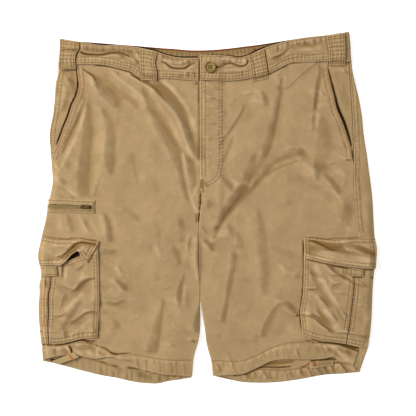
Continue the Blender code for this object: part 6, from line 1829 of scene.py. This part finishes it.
POCKETS = {
    "cargo_pocket_left": Panel(
        [(-256, -92), (-234, -89), (-213, -78.5), (-200, -69), (-181, -58)],
        shifted(SLIT_LEFT, dx=0.8),
        [(-180, -72), *POCKET_EDGE_LEFT[1:4]],
        POCKET_FOOT_LEFT[1:],
    ),
    "pocket_side_left": Panel(
        [(-277, -92), (-257.5, -92)],
        side_points(LEFT_SIDE, -92, -222, 0.3),
        shifted(SLIT_LEFT, dx=-0.8),
        [(-274.5, -224), (-262, -224)],
    ),
    "cargo_pocket_right": Panel(
        [(159, -78), (195, -86), (241, -92)],
        [(159, -90), *POCKET_EDGE_RIGHT[1:5]],
        shifted(SLIT_RIGHT, dx=-0.6),
        POCKET_FOOT_RIGHT[:4],
    ),
    "pocket_side_right": Panel(
        [(242.5, -92), (277.5, -92)],
        shifted(SLIT_RIGHT, dx=0.6),
        side_points(RIGHT_SIDE, -95, -226, -0.3),
        [(230, -225), (258, -230.5), (265, -230)],
    ),
}
FLAPS = {
    "cargo_flap_left": Panel(
        FLAP_TOP_LEFT,
        side_points(LEFT_SIDE, -50, -90),
        [(-181, -62), (-189, -75)],
        [*FLAP_EDGE_LEFT, (-208, -80), (-198, -90.5)],
    ),
    "cargo_flap_right": Panel(
        FLAP_TOP_RIGHT, [(159.5, -66)], side_points(RIGHT_SIDE, -55, -98), FLAP_EDGE_RIGHT
    ),
}
TABS = {
    "flap_tab_left": Panel([(-273.5, -96.5), (-248.5, -96)], [], [], [(-271, -113), (-246.5, -112)]),
    "flap_tab_right": Panel([(233.5, -98.5), (257, -101)], [], [], [(232.5, -111), (256.5, -113.5)]),
}


def tab_seams():
    """A box of stitches on each tab."""
    seams = []
    for panel in TABS.values():
        corners = [*panel.top, panel.bottom[1], panel.bottom[0]]
        for a, b in zip(corners, corners[1:] + corners[:1]):
            seams.append(Seam([a, b], (-2.8,), (-6, 0), 0.2, 4, 0))
    return seams


TAB_SEAMS = tab_seams()
TAB_FINE = fine_of(TAB_SEAMS, 19)
tab_wall = wall_of(FLAP_WALL, TAB_FINE)
TAB_MARKS = marks_of(TAB_FINE, None, (), TAB_SEAMS)


def tab_under(x, y):
    return pocket_under(x, y) + POCKET_WALL + 3 * GAP


def cargo():
    """Each pocket lies on its front, and its flap and tab on the pocket."""
    for panels, under, wall, spacing, marks, base in (
        (POCKETS, pocket_under, pocket_wall, MEDIUM, POCKET_MARKS, "front"),
        (FLAPS, flap_under, flap_wall, MEDIUM, FLAP_MARKS, "cargo_pocket"),
        (TABS, tab_under, tab_wall, CLOSE, TAB_MARKS, "cargo_pocket"),
    ):
        for node, panel in panels.items():
            side = node.split("_")[-1]
            add_cloth(node, panel, under, wall, spacing, marks, [f"{base}_{side}_cloth"])


TAPE_CLIMB_FROM, TAPE_CLIMB_OVER = -268, 14
TAPE_SEAT = 0.4


def tape_climb(x, y):
    """The left tape lies on the back's hem at its end and on the front's hem further up."""
    on_hem = front_under(x, y) + FRONT_WALL + HEM_EXTRA + 2 * GAP + TAPE_SEAT
    start = BACK_HEM_TOP + GAP + TAPE_SEAT
    return start + (on_hem - start) * above(x, TAPE_CLIMB_FROM, TAPE_CLIMB_OVER)


def tape_in_leg(x, y):
    """The right tape lies on the inside of the back's hem."""
    return back_wall(x, y) + GAP


def hem_tapes():
    left = Panel([(-257, -253), (-220, -238.5)], [], [], [(-246, -258.5), (-211.5, -246.5)])
    right = Panel([(169, -256), (208, -252)], [], [], [(169.5, -265.5), (209, -261)])
    # painted shade on the right tape, which lies inside the leg
    shade = marks_of(flat_field(), None, [Gap([(170, -259, 5), (190, -258, 5), (208, -256, 5)], 0.2, 3)])
    tapes = (("left", left, tape_climb, PLAIN), ("right", right, tape_in_leg, shade))
    for side, panel, under, marks in tapes:
        add_cloth(
            f"hem_tape_{side}", panel, under, TAPE_WALL, CLOSE, marks, [f"back_{side}_cloth"],
            finish=TAPE_TWILL, slot="hem_tape",
        )


ZIP_LEFT, ZIP_RIGHT, WELT_RIGHT = -263, -188, -185.5
WELT_WALL = 1.0
COIL_FROM, COIL_TO, COIL_PITCH = -264.0, -211.0, 1.5
COIL_TOOTH = (0.9, 3.4, 0.8)
COIL_RISE = 0.2  # how far the teeth's middle lies over the tape
# Shares of the way down from the welt's upper stitching to its lower one
WELT_TOP, SLOT_TOP, COIL_SHARE, SLOT_FOOT, WELT_FOOT = -0.14, 0.45, 0.69, 0.92, 1.35
SLOT_END = 2  # the slot stops this far from the tape's inner end
WELT_ROLL = 3.5  # the welt's edges come down to the front over this much
ZIP_TAPE = Panel([(ZIP_LEFT, 7.5), (ZIP_RIGHT, 5.5)], [], [], [(ZIP_LEFT, -1.5), (ZIP_RIGHT, -2.5)])
ZIP_WELT = Panel([(ZIP_LEFT, 15), (WELT_RIGHT, 12.5)], [], [], [(ZIP_LEFT, -7.5), (WELT_RIGHT, -9)])


def zip_line(x, share):
    """How high the zip lies at x: share 0 is the welt's upper stitching and 1 its lower one."""
    upper = 13 + (9.5 - 13) * (x - ZIP_LEFT) / (WELT_RIGHT - ZIP_LEFT)
    lower = -2 + (-4 + 2) * (x - ZIP_LEFT) / (WELT_RIGHT - ZIP_LEFT)
    return upper + (lower - upper) * share


def tape_under(x, y):
    return front_top(x, y) + GAP


def in_slot(x, y):
    return x < ZIP_RIGHT - SLOT_END and zip_line(x, SLOT_FOOT) < y < zip_line(x, SLOT_TOP)


def welt_under(x, y):
    edge = np.minimum(zip_line(x, WELT_TOP) - y, y - zip_line(x, WELT_FOOT))
    inside = np.minimum(np.minimum(x + 1 - side_at(LEFT_SIDE, y), WELT_RIGHT - x), edge)
    return tape_under(x, y) + (TAPE_WALL + GAP) * ease(inside / WELT_ROLL)


def zip_pocket():
    add_cloth(
        "zip_tape", ZIP_TAPE, tape_under, TAPE_WALL, CLOSE, TAPE_MARKS, ["front_left_cloth"],
        finish=ZIP_CLOTH, slot="zip_tape",
    )
    add_cloth(
        "zip_welt", ZIP_WELT, welt_under, wall_of(WELT_WALL, WELT_FINE), WELT_CELLS, WELT_MARKS,
        ["zip_tape_cloth"], is_open=in_slot,
    )
    mesh = bmesh.new()
    size = Matrix.Diagonal((*(side * MM for side in COIL_TOOTH), 1))
    for x in np.arange(COIL_FROM, COIL_TO, COIL_PITCH):
        y = zip_line(x, COIL_SHARE)
        z = float(tape_under(x, y) + TAPE_WALL + COIL_RISE)
        bmesh.ops.create_cube(mesh, size=1.0, matrix=Matrix.Translation(Vector((x, y, z)) * MM) @ size)
    declare(make_object("zip_coil", mesh, COIL), slot="zip_tape")


WELT_SEAMS = [
    Seam([(-263, 12.7), (-187, 9.4)], (0,), (-4, 2.5), 0.3, 5, 0),
    Seam([(-263, -2.8), (-187, -5)], (0,), (-3.5, 2.5), 0.3, 5, 0),
    Seam([(-188, 11), (-188, -6)], (0,), (-2, 2), 0.1, 4, 0),
]
# painted shade in the welt's slot and along its edges
WELT_GAPS = [
    Gap([(-264, 12.8, 0.4), (-187, 9.3, 0.4)], 0.35, 1),
    Gap([(-264, 6.2, 0.4), (-187, 3.2, 0.4)], 0.6, 0.8),
    Gap([(-264, -3, 0.4), (-187, -5.2, 0.4)], 0.45, 0.8),
    Gap([(-188.5, 10, 0.4), (-188, -6, 0.4)], 0.5, 0.8),
    Gap([(-199, 4, 1.2), (-190, 3, 1.5)], 0.5, 1.5),
    Gap([(-199, -4, 1), (-190, -4.5, 1.2)], 0.5, 1.5),
]
WELT_FINE = fine_of(WELT_SEAMS, 20)
WELT_MARKS = marks_of(WELT_FINE, None, WELT_GAPS, WELT_SEAMS)
# painted shade on the zip tape along the coil and round the slider
TAPE_GAPS = [
    Gap([(-264, 6, 1), (-187, 3, 1)], 0.5, 1),
    Gap([(-264, -1, 1), (-187, -3.3, 1)], 0.6, 1),
    Gap([(-213, 2.5, 2.5), (-200, 1.5, 3.5), (-188, 0.5, 3.5)], 0.6, 2),
]
TAPE_MARKS = marks_of(flat_field(), None, TAPE_GAPS)


# ---- Thread, binding and bar tacks ----

BINDING_HEIGHT = 3.4
BINDING_DROP = 0.9  # how far the binding lies below the back waistband's top
TACK_PITCH, TACK_SLANT, TACK_RISE = 0.6, 0.2, 0.3
TUBE_SIDES, TUBE_STEP = 8, 2.5
BUTTON_AT = (3.8, 231.5)
RIM_RADIUS, RIM_THICK = 8.3, 1.1
HOLE_OFFSET, HOLE_SIZE = 1.7, (1.1, 1.1, 0.25)


def add_stitch(mesh, start, end):
    """One short length of thread between two places."""
    turn = (end - start).to_track_quat("X", "Z").to_matrix().to_4x4()
    size = Matrix.Diagonal(((end - start).length / 2, STITCH_WIDE / 2, STITCH_HIGH / 2, 1))
    place = Matrix.Scale(MM, 4) @ Matrix.Translation((start + end) / 2) @ turn @ size
    bmesh.ops.create_icosphere(mesh, subdivisions=1, radius=1.0, matrix=place)


def ways_along(line):
    """The direction of a line at each of its points."""
    way = np.gradient(line, axis=0)
    return way / np.linalg.norm(way, axis=1)[:, None]


def sew_rows(name, seams, top):
    """Rows of stitches along the seams, on a surface of that height."""
    mesh = bmesh.new()
    for seam in seams:
        count = max(3, round(line_length(seam.line) / STITCH_PITCH))
        line = smooth_line(seam.line, np.linspace(0, 1, count + 1))
        way = ways_along(line)
        for row in seam.rows:
            track = line + row * np.column_stack([-way[:, 1], way[:, 0]])
            track = np.column_stack([track, top(track[:, 0], track[:, 1])])
            for a, b in zip(track[:-1], track[1:]):
                short = (b - a) * (1 - STITCH_LONG / STITCH_PITCH) / 2
                add_stitch(mesh, Vector(a + short), Vector(b - short))
    declare(make_object(name, mesh, THREAD), slot="thread")


def bar_tack(name, start, end, wide, top, finish):
    """Close crosswise stitches over a short line."""
    mesh = bmesh.new()
    start, end = np.array(start, float), np.array(end, float)
    way = (end - start) / np.linalg.norm(end - start)
    side = np.array([-way[1], way[0]]) * wide / 2
    for share in np.linspace(0, 1, round(np.linalg.norm(end - start) / TACK_PITCH)):
        middle = start + (end - start) * share
        a, b = middle - side - TACK_SLANT * way, middle + side + TACK_SLANT * way
        add_stitch(mesh, *(Vector(np.append(p, top(p[0], p[1]))) for p in (a, b)))
    declare(make_object(name, mesh, finish), slot="binding")


def edge_tube(name, line, level, radius, finish, slot="binding"):
    """A round edging along a line."""
    count = round(line_length(line) / TUBE_STEP)
    track = smooth_line(line, np.linspace(0, 1, count + 1))
    way = ways_along(track)
    mesh = bmesh.new()
    bmesh.ops.create_grid(mesh, x_segments=count, y_segments=TUBE_SIDES, size=0.5)
    for k, vert in enumerate(mesh.verts):
        step, turn = k % (count + 1), math.tau * (k // (count + 1)) / TUBE_SIDES
        across = radius * math.cos(turn)
        x, y = track[step][0] - way[step][1] * across, track[step][1] + way[step][0] * across
        vert.co = Vector((x, y, level + radius * math.sin(turn))) * MM
    bmesh.ops.remove_doubles(mesh, verts=mesh.verts[:], dist=0.01 * MM)
    bmesh.ops.holes_fill(mesh, edges=mesh.edges[:], sides=TUBE_SIDES)
    bmesh.ops.recalc_face_normals(mesh, faces=mesh.faces[:])
    declare(make_object(name, mesh, finish), slot=slot)


def button_face():
    """The button's rolled rim and its four holes."""
    level = max(vert.co.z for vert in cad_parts["button"].data.vertices) / MM
    turns = np.linspace(0, math.tau, 33)
    rim = [tuple(BUTTON_AT + RIM_RADIUS * np.array([math.cos(t), math.sin(t)])) for t in turns]
    edge_tube("button_rim", rim, level, RIM_THICK, RESIN, slot="button_resin")
    # the four holes: dark discs of painted shade
    mesh = bmesh.new()
    for right, up in ((-1, -1), (1, -1), (-1, 1), (1, 1)):
        x, y = BUTTON_AT[0] + right * HOLE_OFFSET, BUTTON_AT[1] + up * HOLE_OFFSET
        place = Matrix.Translation(Vector((x, y, level)) * MM) @ Matrix.Diagonal((*HOLE_SIZE, 1))
        bmesh.ops.create_icosphere(mesh, subdivisions=2, radius=MM, matrix=place)
    declare(make_object("button_holes", mesh, HOLE_SHADE), slot="button_resin")


STITCHING = {
    "fronts": (FRONT_SEAMS, lapped_top),
    "back_hems": (BACK_SEAMS[:2], back_wall),
    "side_seam": (BACK_SEAMS[2:], top_of(front_under, wall_of(BACK_WALL, BACK_FINE))),
    "facings": (FACING_SEAMS, top_of(facing_under, facing_wall)),
    "waistband": (BAND_SEAMS, band_top),
    "pockets": (POCKET_SEAMS, top_of(pocket_under, pocket_wall)),
    "flaps": (FLAP_SEAMS, top_of(flap_under, flap_wall)),
    "loops": (LOOP_SEAMS, top_of(loop_under, loop_wall)),
    "tabs": (TAB_SEAMS, top_of(tab_under, tab_wall)),
}


def tack_on(under):
    """The height of a bar tack's thread on a hem tape."""
    return lambda x, y: under(x, y) + TAPE_WALL + TACK_RISE


def trims():
    button_face()
    for place, (seams, top) in STITCHING.items():
        sew_rows(f"stitching_{place}", seams, top)
    edge = shifted(BAND_TOP_BACK, dy=-BINDING_DROP)
    # the binding's two ends take the darker binding, as painted shade under the front waistband's edge
    edge_tube("binding_left", edge[1:5], BINDING_HEIGHT, 1.0, SHADED_BINDING)
    edge_tube("binding_middle", edge[4:11], BINDING_HEIGHT, 0.9, BINDING)
    edge_tube("binding_right", edge[10:], BINDING_HEIGHT, 0.8, SHADED_BINDING)
    bar_tack("bar_tack_left", (-228, -242), (-220, -252), 2.6, tack_on(tape_climb), ORANGE_THREAD)
    bar_tack("bar_tack_right", (175.5, -254), (178, -261.5), 3.8, tack_on(tape_in_leg), RED_THREAD)


backs()
facings()
fronts()
waistband()
belt_loops()
cargo()
hem_tapes()
zip_pocket()
trims()
for node, finish in (("button", RESIN), ("zip_slider", BRASS), ("zip_pull", BRASS)):
    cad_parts[node].material_slots[0].material = finish

# ---- Stage, light and camera ----

FIELD = 0.6864  # how much of the floor the camera sees, across and down
FLOOR_DROP = 0.0004
FLOOR_GLOW, ROOM_GLOW = 0.6, 0.26
WHITE = (1.0, 1.0, 1.0, 1.0)
LENS, SENSOR = 85.0, 36.0
CLOTH_LEVEL = 0.005
CAMERA_AT = (0.0008, -0.0002)


def floor():
    mesh = bmesh.new()
    bmesh.ops.create_grid(mesh, x_segments=1, y_segments=1, size=2.0)
    made, _, shader = shader_of("pale_floor", Roughness=0.9)
    shader.inputs["Base Color"].default_value = srgb("#f6f6f6")
    shader.inputs["Emission Color"].default_value = WHITE
    shader.inputs["Emission Strength"].default_value = FLOOR_GLOW
    obj = make_object("floor", mesh, made)
    obj.location.z = -FLOOR_DROP


def light(name, place, size, energy):
    """A round lamp that shines at the middle of the garment."""
    lamp = bpy.data.lights.new(name, "AREA")
    lamp.shape, lamp.size, lamp.energy = "DISK", size, energy
    obj = bpy.data.objects.new(name, lamp)
    obj.location = place
    obj.rotation_euler = (-Vector(place)).to_track_quat("-Z", "Y").to_euler()
    bpy.context.scene.collection.objects.link(obj)


def stage():
    floor()
    light("key", (-3.0, 1.2, 2.35), 2.4, 180.0)
    light("fill", (1.8, -0.9, 3.3), 2.4, 18.0)
    world = bpy.data.worlds.new("soft_room")
    world.use_nodes = True
    world.node_tree.nodes["Background"].inputs["Color"].default_value = WHITE
    world.node_tree.nodes["Background"].inputs["Strength"].default_value = ROOM_GLOW
    bpy.context.scene.world = world
    camera = bpy.data.cameras.new("camera")
    camera.lens, camera.sensor_width = LENS, SENSOR
    obj = bpy.data.objects.new("camera", camera)
    obj.location = (*CAMERA_AT, CLOTH_LEVEL + FIELD * LENS / SENSOR)
    bpy.context.scene.collection.objects.link(obj)
    bpy.context.scene.camera = obj
    bpy.context.scene.view_settings.view_transform = "Standard"


stage()
